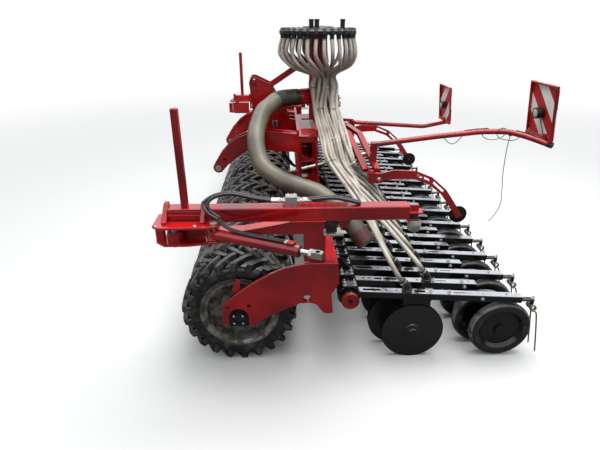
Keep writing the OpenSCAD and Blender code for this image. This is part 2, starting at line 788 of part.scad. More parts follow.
// Hydraulic valve on the beam, the two hoses that loop forward to the cylinder and the two that run back
arm_loop = [[-78, 0, 0, 0, 1], [-180, 0, 18, 0, 1], [-300, 4, 46, 0, 1], [-392, 22, 38, 0.4, 0.9],
            [-442, 58, 8, 1, 0.2], [-420, 88, -32, 0.6, -0.8], [-370, 104, -62, 0.3, -0.95]];
arm_tail = [[104, 0, 0, 0, 1], [190, 0, 8, 0, 1], [280, 0, 12, 0, 1], [370, 0, -6, 0, 1],
            [430, 0, -22, 0, 1]];

// A point of a row (x, y and z from the valve's ports, side x, side y), moved to its side
function beside(row, s) =
    [row[0] + s * 12 * row[3], pivot_y + row[1] + s * 12 * row[4], arm_top_z + 32 + row[2]];

module arm_hoses() {
    color("#2a2a2c") {
        translate([0, pivot_y - valve[1] / 2, arm_top_z]) cube(valve);
        for (s = [-1, 1]) {
            translate([-90, pivot_y + s * 12, arm_top_z + 32]) rotate([0, 90, 0]) cylinder(d = 23, h = 206);
            hose(smooth([for (row = arm_loop) beside(row, s)], 3), arm_hose_d, 8);
            hose(smooth([for (row = arm_tail) beside(row, s)], 2), arm_hose_d, 8);
        }
    }
}

module arm_hoses_left() { place() mirror([0, 1, 0]) arm_hoses(); }
module arm_hoses_right() { place() arm_hoses(); }

// The cylinder is drawn along X from its barrel pin and then turned off the beam
module at_cylinder() {
    translate([cylinder_x, cylinder_y, cylinder_z]) rotate([0, 0, cylinder_turn]) children();
}

module barrel() {
    color("#8f1519") at_cylinder() difference() {
        union() {
            translate([0, 0, -24]) cylinder(d = 56, h = 48);
            translate([20, 0, 0]) rotate([0, 90, 0]) cylinder(d = barrel_d, h = barrel_len - 20);
            translate([barrel_len - 70, -18, 20]) cube([40, 36, 20]);
        }
        translate([0, 0, -40]) cylinder(d = 25 + 2 * fit, h = 80);
        translate([90, 0, 0]) rotate([0, 90, 0]) cylinder(d = rod_d + 2 * fit, h = barrel_len);
    }
}

module piston_rod() {
    color("#b4b4b2") at_cylinder() difference() {
        union() {
            translate([120, 0, 0]) rotate([0, 90, 0]) cylinder(d = rod_d, h = barrel_len + rod_out - 145);
            translate([barrel_len + rod_out - 30, -rod_eye[1] / 2, -rod_eye[2] / 2]) cube(rod_eye);
        }
        translate([barrel_len + rod_out, 0, -40]) cylinder(d = 26, h = 80);
    }
}

module barrel_left() { place() mirror([0, 1, 0]) barrel(); }
module barrel_right() { place() barrel(); }
module rod_left() { place() mirror([0, 1, 0]) piston_rod(); }
module rod_right() { place() piston_rod(); }

// Packer tyres: the section is drawn from the axle outward, the lugs as slanting bars on it
function tyre_y(n) = centre_gap + tyre_pitch / 2 + n * tyre_pitch;
module tyre_lug() {
    translate([crown_r - 12, 0, 0]) rotate([0, 90, 0]) linear_extrude(lug_top - crown_r + 12)
        polygon([[8, -lug_run / 2 - lug_w / 2], [-tyre_w / 2 + 8, lug_run / 2 - lug_w / 2],
                 [-tyre_w / 2 + 8, lug_run / 2 + lug_w / 2], [8, -lug_run / 2 + lug_w / 2]]);
}

module tyre(n) {
    translate([packer_x, tyre_y(n), tyre_r]) rotate([90, 0, 0]) {
        rotate_extrude() polygon([[rim_r, -100], [rim_r + 14, -100], [rim_r + 30, -118],
            [300, 4 - tyre_w / 2], [325, -118], [crown_r, -88], [crown_r, 88], [325, 118],
            [300, tyre_w / 2 - 4], [rim_r + 30, 118], [rim_r + 14, 100], [rim_r, 100]]);
        // Each half has its own ring of lugs, half a pitch apart
        for (k = [0 : lug_count - 1]) {
            turn = 98.3 - tyre_step * n - k * 360 / lug_count;
            rotate([0, 0, turn]) mirror([0, 0, 1]) tyre_lug();
            rotate([0, 0, turn + 180 / lug_count]) tyre_lug();
        }
    }
}

module packer_tyres() {
    color("#232323") for (n = [0 : tyre_count - 1]) tyre(n);
}

module packer_rims() {
    color("#8e8c88") for (n = [0 : tyre_count - 1])
        translate([packer_x, tyre_y(n), tyre_r]) rotate([90, 0, 0]) rotate_extrude()
            polygon([[axle_r, -8], [130, -8], [170, -34], [rim_r - 14, -34], [rim_r - 14, -107],
                     [rim_r + 12, -107], [rim_r + 12, -100], [rim_r, -100], [rim_r, 100], [rim_r + 12, 100],
                     [rim_r + 12, 107], [rim_r - 14, 107], [rim_r - 14, -22], [176, -22], [136, 4],
                     [axle_r, 4]]);
}

module packer_axle() {
    color("#3a3634") {
        round_y(packer_x, (centre_gap + plate_y - 20) / 2, tyre_r, axle_r, plate_y - 20 - centre_gap);
        round_y(packer_x, (plate_y + 22) / 2, tyre_r, journal_r, plate_y + 20);
    }
}

module packer_tyres_left() { place() mirror([0, 1, 0]) packer_tyres(); }
module packer_tyres_right() { place() packer_tyres(); }
module packer_rims_left() { place() mirror([0, 1, 0]) packer_rims(); }
module packer_rims_right() { place() packer_rims(); }
module packer_axle_left() { place() mirror([0, 1, 0]) packer_axle(); }
module packer_axle_right() { place() packer_axle(); }

// Two discs with their hubs on the shaft that runs in the arm's bush
module disc_pair(x, y) {
    translate([x, y, disc_z]) rotate([90, 0, 0]) rotate_extrude()
        polygon([[0, -38], [24, -38], [30, -30], [56, -26], [60, -19], [disc_d / 2, -16], [disc_d / 2, -13],
                 [60, -13], [disc_shaft_r, -12], [disc_shaft_r, 12], [60, 13], [disc_d / 2, 13],
                 [disc_d / 2, 16], [60, 19], [56, 26], [30, 30], [24, 38], [0, 38]]);
}

module discs_long() {
    color("#26272a") place() for (i = [0 : 2 : row_count - 1]) disc_pair(disc_long_x, row_y(i));
}

module discs_short() {
    color("#26272a") place() for (i = [1 : 2 : row_count - 1]) disc_pair(disc_short_x, row_y(i));
}

module press_tyre(x, y) {
    translate([x, y, press_z]) rotate([90, 0, 0]) rotate_extrude()
        polygon([[150, -30], [185, -press_w / 2], [194, -press_w / 2 + 6], [press_d / 2, -14],
                 [press_d / 2, 14], [194, press_w / 2 - 6], [185, press_w / 2], [150, 30]]);
}

module press_hub(x, y) {
    translate([x, y, press_z]) rotate([90, 0, 0]) rotate_extrude()
        polygon([[press_shaft_r + fit, -32], [40, -32], [46, -14], [130, -20], [150, -30], [150, 30],
                 [130, 6], [46, 12], [40, 30], [0, 30], [0, 24], [press_shaft_r + fit, 24]]);
}

module press_tyres_long() {
    color("#1b1b1c") place() for (i = [0 : 2 : row_count - 1]) press_tyre(press_long_x, row_y(i));
}
module press_tyres_short() {
    color("#1b1b1c") place() for (i = [1 : 2 : row_count - 1]) press_tyre(press_short_x, row_y(i));
}
module press_hubs_long() {
    color("#232324") place() for (i = [0 : 2 : row_count - 1]) press_hub(press_long_x, row_y(i));
}
module press_hubs_short() {
    color("#232324") place() for (i = [1 : 2 : row_count - 1]) press_hub(press_short_x, row_y(i));
}

main_beam();
side_plates();
axle_bearings();
centre_bearing();
headstock();
top_link_plates();
link_pins();
tower_column();
riser_pipe();
distributor_head();
outlets();
seed_hoses_left();
seed_hoses_right();
feed_hose();
coulter_beam();
beam_caps();
beam_clamps();
coulter_arms_long();
coulter_arms_short();
opener_posts();
wheel_forks();
seed_necks();
harrow_tines();
rear_carrier();
board_tubes();
warning_boards();
board_lamps();
lamp_cable();
side_brackets();
pivot_pins();
marker_brackets();
packer_tyres_left();
packer_rims_left();
packer_axle_left();
packer_tyres_right();
packer_rims_right();
packer_axle_right();
discs_long();
discs_short();
press_tyres_long();
press_hubs_long();
press_tyres_short();
press_hubs_short();
side_arm_left();
side_arm_right();
arm_buffers_left();
arm_buffers_right();
arm_hoses_left();
arm_hoses_right();
barrel_left();
barrel_right();
rod_left();
rod_right();
marker_arm_left();
marker_arm_right();
marker_disc_left();
marker_disc_right();
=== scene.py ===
# %% [markdown]
# # A folded seed drill, from bare solids to a wet machine in a yard
# The machine is already built as exact solids: beams, plates, discs, wheels and their joints. This lesson
# dresses it. Solids whose form is right keep it and only get a finish. What is soft, moulded or full of
# small parts is made here as a mesh, in the same frame, and rides on the body that carries it.

# %% Load the frame
import json
import math
import random

import bpy
import numpy as np
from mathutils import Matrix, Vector
from mathutils.geometry import tessellate_polygon


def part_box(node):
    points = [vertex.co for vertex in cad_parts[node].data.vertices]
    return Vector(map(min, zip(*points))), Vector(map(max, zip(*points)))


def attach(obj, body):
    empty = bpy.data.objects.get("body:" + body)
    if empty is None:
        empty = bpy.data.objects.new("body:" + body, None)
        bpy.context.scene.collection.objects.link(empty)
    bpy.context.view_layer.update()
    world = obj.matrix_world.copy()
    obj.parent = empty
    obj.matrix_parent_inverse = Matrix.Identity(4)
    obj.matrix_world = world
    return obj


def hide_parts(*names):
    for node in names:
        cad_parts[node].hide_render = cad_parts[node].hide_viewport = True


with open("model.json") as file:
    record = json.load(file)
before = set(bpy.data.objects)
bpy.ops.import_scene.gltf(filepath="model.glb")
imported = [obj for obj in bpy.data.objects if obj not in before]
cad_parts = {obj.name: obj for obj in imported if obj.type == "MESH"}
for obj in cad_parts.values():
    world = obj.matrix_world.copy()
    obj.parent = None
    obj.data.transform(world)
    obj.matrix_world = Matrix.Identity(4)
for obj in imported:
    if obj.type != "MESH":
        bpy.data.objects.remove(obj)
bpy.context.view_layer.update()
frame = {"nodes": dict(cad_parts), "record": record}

# %% [markdown]
# ## The drawing's frame
# The drawing counts its lengths along the machine from a plane between packer and coulters, in millimetres.
# One function turns a drawing point into the frame's metres, so that every number below can be read as a
# size on the machine. The plane is found again from the main beam, whose front face is 160 mm behind it.

# %% Points of the drawing
MM = 0.001
UP, ACROSS = (0, 0, 1), (0, 1, 0)
SIDES = ((-1, "left"), (1, "right"))
BEAM_FRONT = 160
PLANE_X = BEAM_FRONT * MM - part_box("main_beam")[0].x


def at(x, y, z):
    """A drawing point in millimetres, as a point of the frame in metres."""
    return Vector((x * MM - PLANE_X, y * MM, z * MM))


print("the drawing's plane lies", round(PLANE_X, 4), "m in front of the origin")

# %% [markdown]
# ## Camera
# The photograph was taken with a wide phone lens, standing beside the left end of the machine, from above
# head height and tilted down by 25 degrees. A lens of 27 mm on a 36 mm sensor gives that view.

# %% Set the camera
camera_data = bpy.data.cameras.new("camera")
camera_data.lens = 27
camera_data.sensor_width = 36
EYE = at(0, -4390, 2145)
TILT_DOWN, TURN_RIGHT = 24.8, 2.0
camera = bpy.data.objects.new("camera", camera_data)
camera.location = EYE
camera.rotation_euler = (math.radians(90 - TILT_DOWN), 0, math.radians(-TURN_RIGHT))
bpy.context.scene.collection.objects.link(camera)
bpy.context.scene.camera = camera
bpy.context.scene.view_settings.view_transform = "Standard"
print("camera at", [round(v, 3) for v in camera.location])

# %% [markdown]
# ## Lighting cable
# The cable of the rear lamps isn't plugged in. It leaves a clip under the left tube, and its bare end hangs
# down behind the openers. The points are the drawing's own, with a smooth curve laid through them.

# %% Hang the cable
CABLE_ROUTE = [(1806, -880, 1280), (1803, -880, 1225), (1800, -881, 1165), (1800, -882, 1100),
               (1803, -882, 1040), (1807, -881, 980), (1812, -880, 925), (1820, -878, 875),
               (1829, -877, 830), (1830, -878, 785), (1838, -880, 740), (1836, -881, 685),
               (1819, -882, 628), (1790, -883, 572), (1760, -884, 535)]
CABLE_D = 6
cable_curve = bpy.data.curves.new("lamp_cable_sheath", "CURVE")
cable_curve.dimensions = "3D"
cable_curve.bevel_depth = CABLE_D / 2 * MM
cable_curve.bevel_resolution = 2
cable_curve.use_fill_caps = True
spline = cable_curve.splines.new("BEZIER")
spline.bezier_points.add(len(CABLE_ROUTE) - 1)
for knot, place in zip(spline.bezier_points, CABLE_ROUTE):
    knot.co = at(*place)
    knot.handle_left_type = "AUTO"
    knot.handle_right_type = "AUTO"
spline.resolution_u = 4
cable = bpy.data.objects.new("lamp_cable_sheath", cable_curve)
bpy.context.scene.collection.objects.link(cable)
bpy.context.view_layer.update()
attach(cable, "frame")
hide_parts("lamp_cable")

# %% [markdown]
# ## Nodes in few words
# A finish is a small network of shader nodes. Writing each link by hand hides the idea, so one helper adds a
# node with its values and links. A few more name what a painter does: noise for blotches, level to pick the
# part of a pattern that counts, mix to lay one colour over another, and relief to raise the surface.

# %% Helpers for finishes
def node(finish, kind, sockets, **settings):
    """Adds a shader node. sockets maps a socket's name or number to a value or to another node's output."""
    made = finish.node_tree.nodes.new("ShaderNode" + kind)
    for key, value in settings.items():
        setattr(made, key, value)
    for key, value in sockets.items():
        if isinstance(value, bpy.types.NodeSocket):
            finish.node_tree.links.new(value, made.inputs[key])
        else:
            made.inputs[key].default_value = value
    return made


def noise(finish, scale, detail=4.0, stretch=(1, 1, 1)):
    """A blotchy pattern from 0 to 1 over the piece, drawn out where stretch is small."""
    place = node(finish, "TexCoord", {})
    spread = node(finish, "Mapping", {"Vector": place.outputs["Object"], "Scale": stretch})
    made = node(finish, "TexNoise", {"Vector": spread.outputs[0], "Scale": scale, "Detail": detail})
    return made.outputs["Fac"]


def level(finish, value, low, high):
    """0 below low, 1 above high and even between them."""
    return node(finish, "MapRange", {"Value": value, "From Min": low, "From Max": high}).outputs[0]


print("nodes and patterns are ready")

# %% Colours and relief
def mix(finish, share, first, second):
    """The second colour laid over the first where share is 1."""
    colours = [c if isinstance(c, bpy.types.NodeSocket) else (*c, 1) for c in (first, second)]
    return node(finish, "Mix", {0: share, 6: colours[0], 7: colours[1]}, data_type="RGBA").outputs[2]


def sums(finish, kind, first, second, third=0.0):
    """One step of arithmetic; only MULTIPLY_ADD takes a third number."""
    return node(finish, "Math", {0: first, 1: second, 2: third}, operation=kind).outputs[0]


def relief(finish, height, strength, depth):
    """Raises the surface where height is high."""
    return node(finish, "Bump", {"Height": height, "Strength": strength, "Distance": depth}).outputs[0]


print("colours and relief are ready")

# %% A new finish
def new_finish(name, colour, rough, metal=0.0, coat=0.0, coat_rough=0.08, shine=0.5):
    """A plain finish. coat is the water on it, and shine how much a bare surface mirrors."""
    finish = bpy.data.materials.new(name)
    finish.use_nodes = True
    skin = finish.node_tree.nodes["Principled BSDF"]
    values = {"Base Color": (*colour, 1), "Roughness": rough, "Metallic": metal, "Coat Weight": coat,
              "Coat Roughness": coat_rough, "Specular IOR Level": shine}
    for socket, value in values.items():
        skin.inputs[socket].default_value = value
    return finish


def dress(finish, **outputs):
    """Links outputs to the shader's sockets: colour, rough or normal."""
    names = {"colour": "Base Color", "rough": "Roughness", "normal": "Normal"}
    skin = finish.node_tree.nodes["Principled BSDF"]
    for key, value in outputs.items():
        finish.node_tree.links.new(value, skin.inputs[names[key]])
    return finish


print("helpers for finishes are ready")

# %% [markdown]
# ## Paint
# It has rained: the paint is deep red under a film of water, so a clear coat lies over it and takes the
# sky. The colour itself varies slowly, because old paint fades and collects dust, and drops stand on it.
# One function makes the red and the black paint, which differ in their colours and in the water's gloss.

# %% Paints
def drops(finish, scale, strength):
    """Small beads of water: the near parts of scattered cells, raised."""
    place = node(finish, "TexCoord", {})
    cells = node(finish, "TexVoronoi", {"Vector": place.outputs["Object"], "Scale": scale})
    bead = level(finish, cells.outputs["Distance"], 0.32, 0.1)
    return relief(finish, bead, strength, 0.002)


def paint(name, deep, bright, dirt, coat, shine):
    """Paint that fades from deep to bright in blotches, with runs and specks of dirt and drops of water."""
    rough = 0.3
    finish = new_finish(name, bright, rough, coat=coat, coat_rough=0.07, shine=shine)
    fade = level(finish, noise(finish, 2.5, 3), 0.35, 0.68)
    body = mix(finish, fade, deep, bright)
    runs = level(finish, noise(finish, 9, 6, (1, 1, 0.25)), 0.56, 0.74)
    grime = sums(finish, "MULTIPLY", runs, 0.45)
    speckle = level(finish, noise(finish, 160, 2), 0.66, 0.8)
    stained = mix(finish, grime, body, dirt)
    colour = mix(finish, sums(finish, "MULTIPLY", speckle, 0.35), stained, dirt)
    wet = level(finish, noise(finish, 5, 4), 0.3, 0.7)
    dull = sums(finish, "MULTIPLY_ADD", wet, 0.25, rough)
    return dress(finish, colour=colour, rough=dull, normal=drops(finish, 130, 0.12))


RED = paint("red paint", (0.15, 0.002, 0.0035), (0.42, 0.006, 0.009), (0.05, 0.018, 0.012), 0.7, 0.05)
BLACK = paint("black paint", (0.0025, 0.0025, 0.003), (0.006, 0.006, 0.007), (0.014, 0.012, 0.01), 0.5, 0.05)
print("paints:", RED.name, BLACK.name)

# %% [markdown]
# ## Rubber, plastic and hoses
# The rubber is black only where it is wet; the lugs' tops are worn grey-brown. A seed hose is wound from a
# ribbed strip, so its ribs form a fine helix. The helix needs a coordinate that runs along the hose, and
# each hose gets one when its tube is made.

# %% Rubber, plastic and hoses
def rubber(name, dark, grey, share, rough, grain):
    """Rubber or plastic, grey where it is worn; share is how much of it is worn."""
    finish = new_finish(name, dark, rough, shine=0.35)
    worn = level(finish, noise(finish, 14, 6), 1 - share, 1.15 - share)
    colour = mix(finish, worn, dark, grey)
    fine = relief(finish, noise(finish, grain, 3), 0.25, 0.002)
    dull = sums(finish, "MULTIPLY_ADD", worn, 0.3, rough)
    return dress(finish, colour=colour, rough=dull, normal=fine)


TYRE = rubber("tyre flank", (0.007, 0.007, 0.008), (0.035, 0.031, 0.027), 0.5, 0.26, 90)
LUG = rubber("tyre lug top", (0.012, 0.0115, 0.011), (0.062, 0.055, 0.048), 0.55, 0.28, 120)
RUBBER = rubber("black rubber", (0.007, 0.007, 0.008), (0.036, 0.034, 0.032), 0.45, 0.3, 200)
PLASTIC = rubber("black plastic", (0.011, 0.011, 0.012), (0.03, 0.03, 0.03), 0.4, 0.28, 300)
# Painted shade: a dark, matte finish for the arms' slots, the discs that stand for their holes, and the disc
# in each beam cap.
PAINTED_SHADE_STEEL = rubber("shaded steel", (0.004, 0.004, 0.004), (0.02, 0.018, 0.016), 0.4, 0.5, 200)
WORN_TREAD = rubber("worn tread", (0.05, 0.048, 0.047), (0.19, 0.18, 0.172), 0.6, 0.42, 60)
GREY_RUBBER = rubber("worn grey rubber", (0.18, 0.165, 0.155), (0.36, 0.33, 0.31), 0.6, 0.5, 150)


def hose_finish(name, light, dark, pitch, rough):
    """A hose with a fine helix; the second texture coordinate runs along it in metres."""
    finish = new_finish(name, light, rough)
    place = node(finish, "UVMap", {}, uv_map="along")
    spread = node(finish, "SeparateXYZ", {0: place.outputs[0]})
    turns = sums(finish, "DIVIDE", spread.outputs[1], pitch)
    helix = sums(finish, "ADD", turns, spread.outputs[0])
    saw = sums(finish, "PINGPONG", helix, 0.5)
    ribs = sums(finish, "MULTIPLY", saw, 2.0)
    stain = level(finish, noise(finish, 6, 5), 0.42, 0.72)
    body = mix(finish, stain, light, dark)
    colour = mix(finish, sums(finish, "MULTIPLY", ribs, 0.35), body, dark)
    return dress(finish, colour=colour, normal=relief(finish, ribs, 0.3, 0.002))


SEED_HOSE = hose_finish("seed hose", (0.42, 0.385, 0.325), (0.16, 0.138, 0.108), 0.006, 0.32)
FEED_HOSE = hose_finish("feed hose", (0.112, 0.096, 0.062), (0.044, 0.037, 0.024), 0.009, 0.42)
# Painted shade: the feed hose's cuff is dark and matte for the shade of the seed hoses that lie over it.
CUFF_PAINTED_SHADE = rubber("cuff with painted shade", (0.022, 0.019, 0.015), (0.05, 0.043, 0.034), 0.5, 0.42, 120)
# The end's ribs are red-brown of their own; their darkness is partly painted shade of the seed hoses above.
RIB_PARTLY_PAINTED_SHADE = rubber("red-brown rib with painted shade", (0.10, 0.035, 0.028), (0.05, 0.03, 0.025), 0.5, 0.4, 200)
LENS = rubber("clear lens", (0.50, 0.50, 0.48), (0.78, 0.78, 0.76), 0.5, 0.08, 400)
CABLE_TIE = rubber("pale tie", (0.62, 0.61, 0.58), (0.45, 0.43, 0.40), 0.4, 0.3, 300)
print("rubber and hoses:", TYRE.name, LUG.name, SEED_HOSE.name, FEED_HOSE.name)

# %% [markdown]
# ## Bare metal and film
# Bolts and valves are zinc plated, rims are painted pale, discs and springs are plain steel. All are one
# recipe with other colours. The boards' stripes aren't a picture: a band depends on how far out and how
# high a point lies, so a little arithmetic draws them at a slant.

# %% Bare metal and film
def metal(name, clean, stained, share, rough, shine):
    """Metal with stained spots; share is how much of it they take."""
    finish = new_finish(name, clean, rough, metal=shine)
    spots = level(finish, noise(finish, 20, 7), 1 - share, 1.2 - share)
    colour = mix(finish, spots, clean, stained)
    dull = sums(finish, "MULTIPLY_ADD", spots, 0.3, rough)
    fine = relief(finish, noise(finish, 180, 3), 0.12, 0.001)
    return dress(finish, colour=colour, rough=dull, normal=fine)


ZINC = metal("zinc", (0.35, 0.342, 0.32), (0.15, 0.13, 0.105), 0.45, 0.34, 0.7)
RIM = metal("rim paint", (0.19, 0.185, 0.175), (0.055, 0.045, 0.035), 0.6, 0.4, 0.4)
STEEL = metal("dark steel", (0.011, 0.011, 0.013), (0.034, 0.018, 0.012), 0.4, 0.3, 0.3)
SPRING = metal("spring steel", (0.16, 0.135, 0.105), (0.07, 0.05, 0.035), 0.5, 0.4, 0.5)
CHROME = metal("rod chrome", (0.33, 0.33, 0.32), (0.2, 0.19, 0.175), 0.3, 0.2, 1.0)
# Painted sheen: the arms' wet tops get a pale, bluish metal that stands for the sky they mirror.
PAINTED_SHEEN_TOP = metal("arm top with painted sheen", (0.33, 0.345, 0.37), (0.05, 0.051, 0.056), 0.42, 0.2, 0.95)


def board_finish():
    """Red and white bands that fall towards the outside: |y| + z is the same along a band."""
    finish = new_finish("board film", (0.9, 0.89, 0.88), 0.35, coat=0.15, shine=0.2)
    place = node(finish, "TexCoord", {})
    parts = node(finish, "SeparateXYZ", {0: place.outputs["Object"]})
    outward = sums(finish, "ABSOLUTE", parts.outputs[1], 0.0)
    across = sums(finish, "DIVIDE", sums(finish, "ADD", outward, parts.outputs[2]), 0.282)
    band = sums(finish, "GREATER_THAN", sums(finish, "FRACT", across, 0.0), 0.5)
    film = mix(finish, band, (0.92, 0.91, 0.90), (0.50, 0.009, 0.012))
    dust = sums(finish, "MULTIPLY", level(finish, noise(finish, 12, 6), 0.4, 0.8), 0.18)
    return dress(finish, colour=mix(finish, dust, film, (0.22, 0.17, 0.13)))


FILM = board_finish()
print("metals and film:", ZINC.name, RIM.name, STEEL.name, FILM.name)

# %% [markdown]
# ## Finishes on the solids
# Each solid says in the record which material it is made of. A table from that word to a finish dresses
# them all at once, and the few that differ from their kind follow after it.

# %% Dress the solids
FINISHES = {
    "red_paint": RED, "black_paint": BLACK, "zinc": ZINC, "rim_grey": RIM, "dark_steel": STEEL,
    "tyre": TYRE, "black_rubber": RUBBER, "seed_hose": SEED_HOSE, "feed_hose": FEED_HOSE,
    "black_plastic": PLASTIC, "board_film": FILM,
}


def wear(thing, finish):
    """Gives a piece one finish in place of what it had."""
    thing.data.materials.clear()
    thing.data.materials.append(finish)


for part in frame["record"]["subparts"]:
    wear(frame["nodes"][part["node"]], FINISHES[part["material_slot"]])
for side in ("left", "right"):
    wear(frame["nodes"]["rod_" + side], CHROME)
wear(cable, RUBBER)
print("dressed", len(frame["nodes"]), "solids")

# %% [markdown]
# ## Pieces from points and faces
# Most pieces here are long runs of like things: lugs, bolts, hoses. It is quick to work their points out
# with a formula, gather them all in one stock and turn the stock into a single mesh. Edges sharper than a
# set angle stay sharp, so that turned and pressed parts look crisp and hoses look round.

# %% A stock of points and faces
class Stock:
    """Points and faces gathered before they become one piece. A mark is the number of a finish.

    turns holds each face's texture coordinates: the share of a turn round a tube, and metres along it.
    """

    def __init__(self):
        self.points, self.faces, self.marks, self.turns = [], [], [], []

    def add(self, points, faces, mark=0, turns=None):
        """Adds faces over new points. mark is one number for all faces or a list with one for each."""
        start = len(self.points)
        self.points += [tuple(p) for p in points]
        self.faces += [tuple(i + start for i in f) for f in faces]
        self.marks += mark if isinstance(mark, list) else [mark] * len(faces)
        self.turns += turns if turns else [[(0.0, 0.0)] * len(f) for f in faces]

    def piece(self, name, finishes, body, slot=None, crease=35, solid=None):
        """Makes the mesh, lets it ride on a body, in the place of a solid if one is named."""
        mesh = bpy.data.meshes.new(name)
        mesh.from_pydata(self.points, [], self.faces)
        for finish in finishes:
            mesh.materials.append(finish)
        mesh.polygons.foreach_set("material_index", self.marks)
        mesh.polygons.foreach_set("use_smooth", [True] * len(self.faces))
        mesh.set_sharp_from_angle(angle=math.radians(crease))
        layer = mesh.uv_layers.new(name="along")
        layer.data.foreach_set("uv", np.array([uv for face in self.turns for uv in face], float).ravel())
        thing = bpy.data.objects.new(name, mesh)
        bpy.context.scene.collection.objects.link(thing)
        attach(thing, body)
        if solid:
            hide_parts(solid)
        print(name, len(self.faces), "faces on", body)


print("a stock starts with", len(Stock().points), "points")

# %% Turned forms
def frame_on(axis):
    """Two directions square to an axis and to each other."""
    axis = Vector(axis).normalized()
    first = axis.cross(Vector(UP) if abs(axis.z) < 0.9 else Vector((1, 0, 0))).normalized()
    return axis, first, axis.cross(first)


def turned(stock, centre, axis, profile, steps=24, mark=0):
    """Turns a profile of (distance along the axis, radius) in millimetres about an axis."""
    axis, first, second = frame_on(axis)
    points, faces = [], []
    for s in range(steps):
        a = math.radians(360 * s / steps)
        out = first * math.cos(a) + second * math.sin(a)
        points += [centre + axis * (h * MM) + out * (r * MM) for h, r in profile]
    n = len(profile)
    for s in range(steps):
        t = (s + 1) % steps
        faces += [(s * n + k, t * n + k, t * n + k + 1, s * n + k + 1) for k in range(n - 1)]
    stock.add(points, faces, mark)


print("turned forms are ready")

# %% [markdown]
# ## Packer tyres
# The packer runs on fourteen farm tyres side by side. Each has bars in a chevron, 22 to a side, set off by
# half a bar between the two sides. A bar starts on the crown, runs slanting to the shoulder and bends down
# over it. The carcass is turned from its section; a bar is a row of six-cornered sections along its path,
# narrow at the top and wide at the foot. Bars and carcass are joined as one mesh for each half of the roll.

# %% Sizes of the packer
TYRE_R, LUG_COUNT, LUG_SWEEP = 380, 22, 0.30
TYRES, TYRE_PITCH, MIDDLE_GAP = 7, 272, 46
PACKER_X, PACKER_Z = -312, 380
TYRE_WALL = [(-98, 228), (-102, 240), (-110, 248), (-120, 262), (-126, 280), (-127, 298), (-124, 318),
             (-116, 334), (-98, 344), (-60, 350), (0, 352)]
TYRE_WALL += [(-y, r) for y, r in reversed(TYRE_WALL[:-1])]
RIM_LIP = [(95, 224), (104, 228), (109, 236), (117, 248), (120, 255), (119, 259), (112, 258)]
print("each half of the packer is", TYRES * TYRE_PITCH, "mm wide")

# %% A bar of the tread
def lug_stations():
    """Sections along a bar: foot (y, r), top (y, r), half widths of foot and top, and share of the sweep."""
    rows = []
    for s in (0.0, 0.2, 0.45, 0.7, 0.88):
        y = -8 + 130 * s
        foot = 347 - 9 * max(0, s - 0.5) ** 1.2
        rows.append(((y, foot), (y, TYRE_R - 5 * s * s), 26 - 2 * s, 14 + 1.5 * s, s ** 0.85))
    return rows + [((116, 333), (121, 372), 24, 15.5, 0.98), ((123, 318), (129, 350), 24, 15, 1.0),
                   ((126, 300), (128.5, 318), 22, 13, 1.01)]


def add_lug(stock, centre_y, angle, mirror):
    """One bar. Its sections stand square to its path on the crown and level on the shoulder."""
    rows = lug_stations()
    points, faces, marks = [], [], []
    for k, ((yf, rf), (yt, rt), wf, wt, share) in enumerate(rows):
        before, after = rows[max(k - 1, 0)], rows[min(k + 1, len(rows) - 1)]
        dy = after[1][0] - before[1][0]
        df = (before[4] - after[4]) * LUG_SWEEP * TYRE_R
        size = math.hypot(dy, df)
        ny, nf = (-df / size, dy / size) if k < 5 else (0, 1)
        for y, r, w in ((yf, rf, -wf), (yt, rt - 7, -wt - 3), (yt, rt, -wt),
                        (yt, rt, wt), (yt, rt - 7, wt + 3), (yf, rf, wf)):
            a = angle - LUG_SWEEP * share + nf * w / r
            side_y = centre_y + (y + ny * w) * mirror
            points.append(at(PACKER_X + r * math.sin(a), side_y, PACKER_Z + r * math.cos(a)))
    for k in range(0, len(points) - 6, 6):
        for j in range(5):
            faces.append((k + j, k + j + 1, k + j + 7, k + j + 6))
            marks.append(1 if j == 2 else 0)
    faces += [tuple(range(6))[::-1], tuple(range(len(points) - 6, len(points)))]
    stock.add(points, faces if mirror > 0 else [face[::-1] for face in faces], marks + [0, 0])


print("a bar has", len(lug_stations()), "sections")

# %% Make the tyres
def packer_half(side):
    """Seven tyres with all their bars, each tyre turned a little against the one beside it."""
    stock = Stock()
    pitch = 2 * math.pi / LUG_COUNT
    for n in range(TYRES):
        y = side * (MIDDLE_GAP + TYRE_PITCH / 2 + n * TYRE_PITCH)
        turned(stock, at(PACKER_X, y, PACKER_Z), ACROSS, TYRE_WALL, 72)
        for face in (-1, 1):
            turned(stock, at(PACKER_X, y, PACKER_Z), (0, face, 0), RIM_LIP, 60, 2)
        start = math.radians(5) * n + (0 if side > 0 else pitch / 2)
        for k in range(LUG_COUNT):
            add_lug(stock, y, start + k * pitch, 1)
            add_lug(stock, y, start + (k + 0.5) * pitch, -1)
    return stock


for side, word in SIDES:
    packer_half(side).piece("tyre_tread_" + word, [TYRE, LUG, RIM], "packer_" + word, "tyre", 40,
                            "packer_tyres_" + word)

# %% [markdown]
# ## Plates and smooth lines
# Much of the machine is cut from flat plate. A plate is its outline, given a thickness. Its edges could be
# broken with a Bevel; here the outline is drawn again, a few millimetres further in, which gives every
# plate the same edge and leaves its holes sharp. Blender's own function cuts the face round the holes into
# triangles. A smooth line goes through all its points, so an arch can be traced with few of them.

# %% Plates and smooth lines
HOLE_SIDES = 32


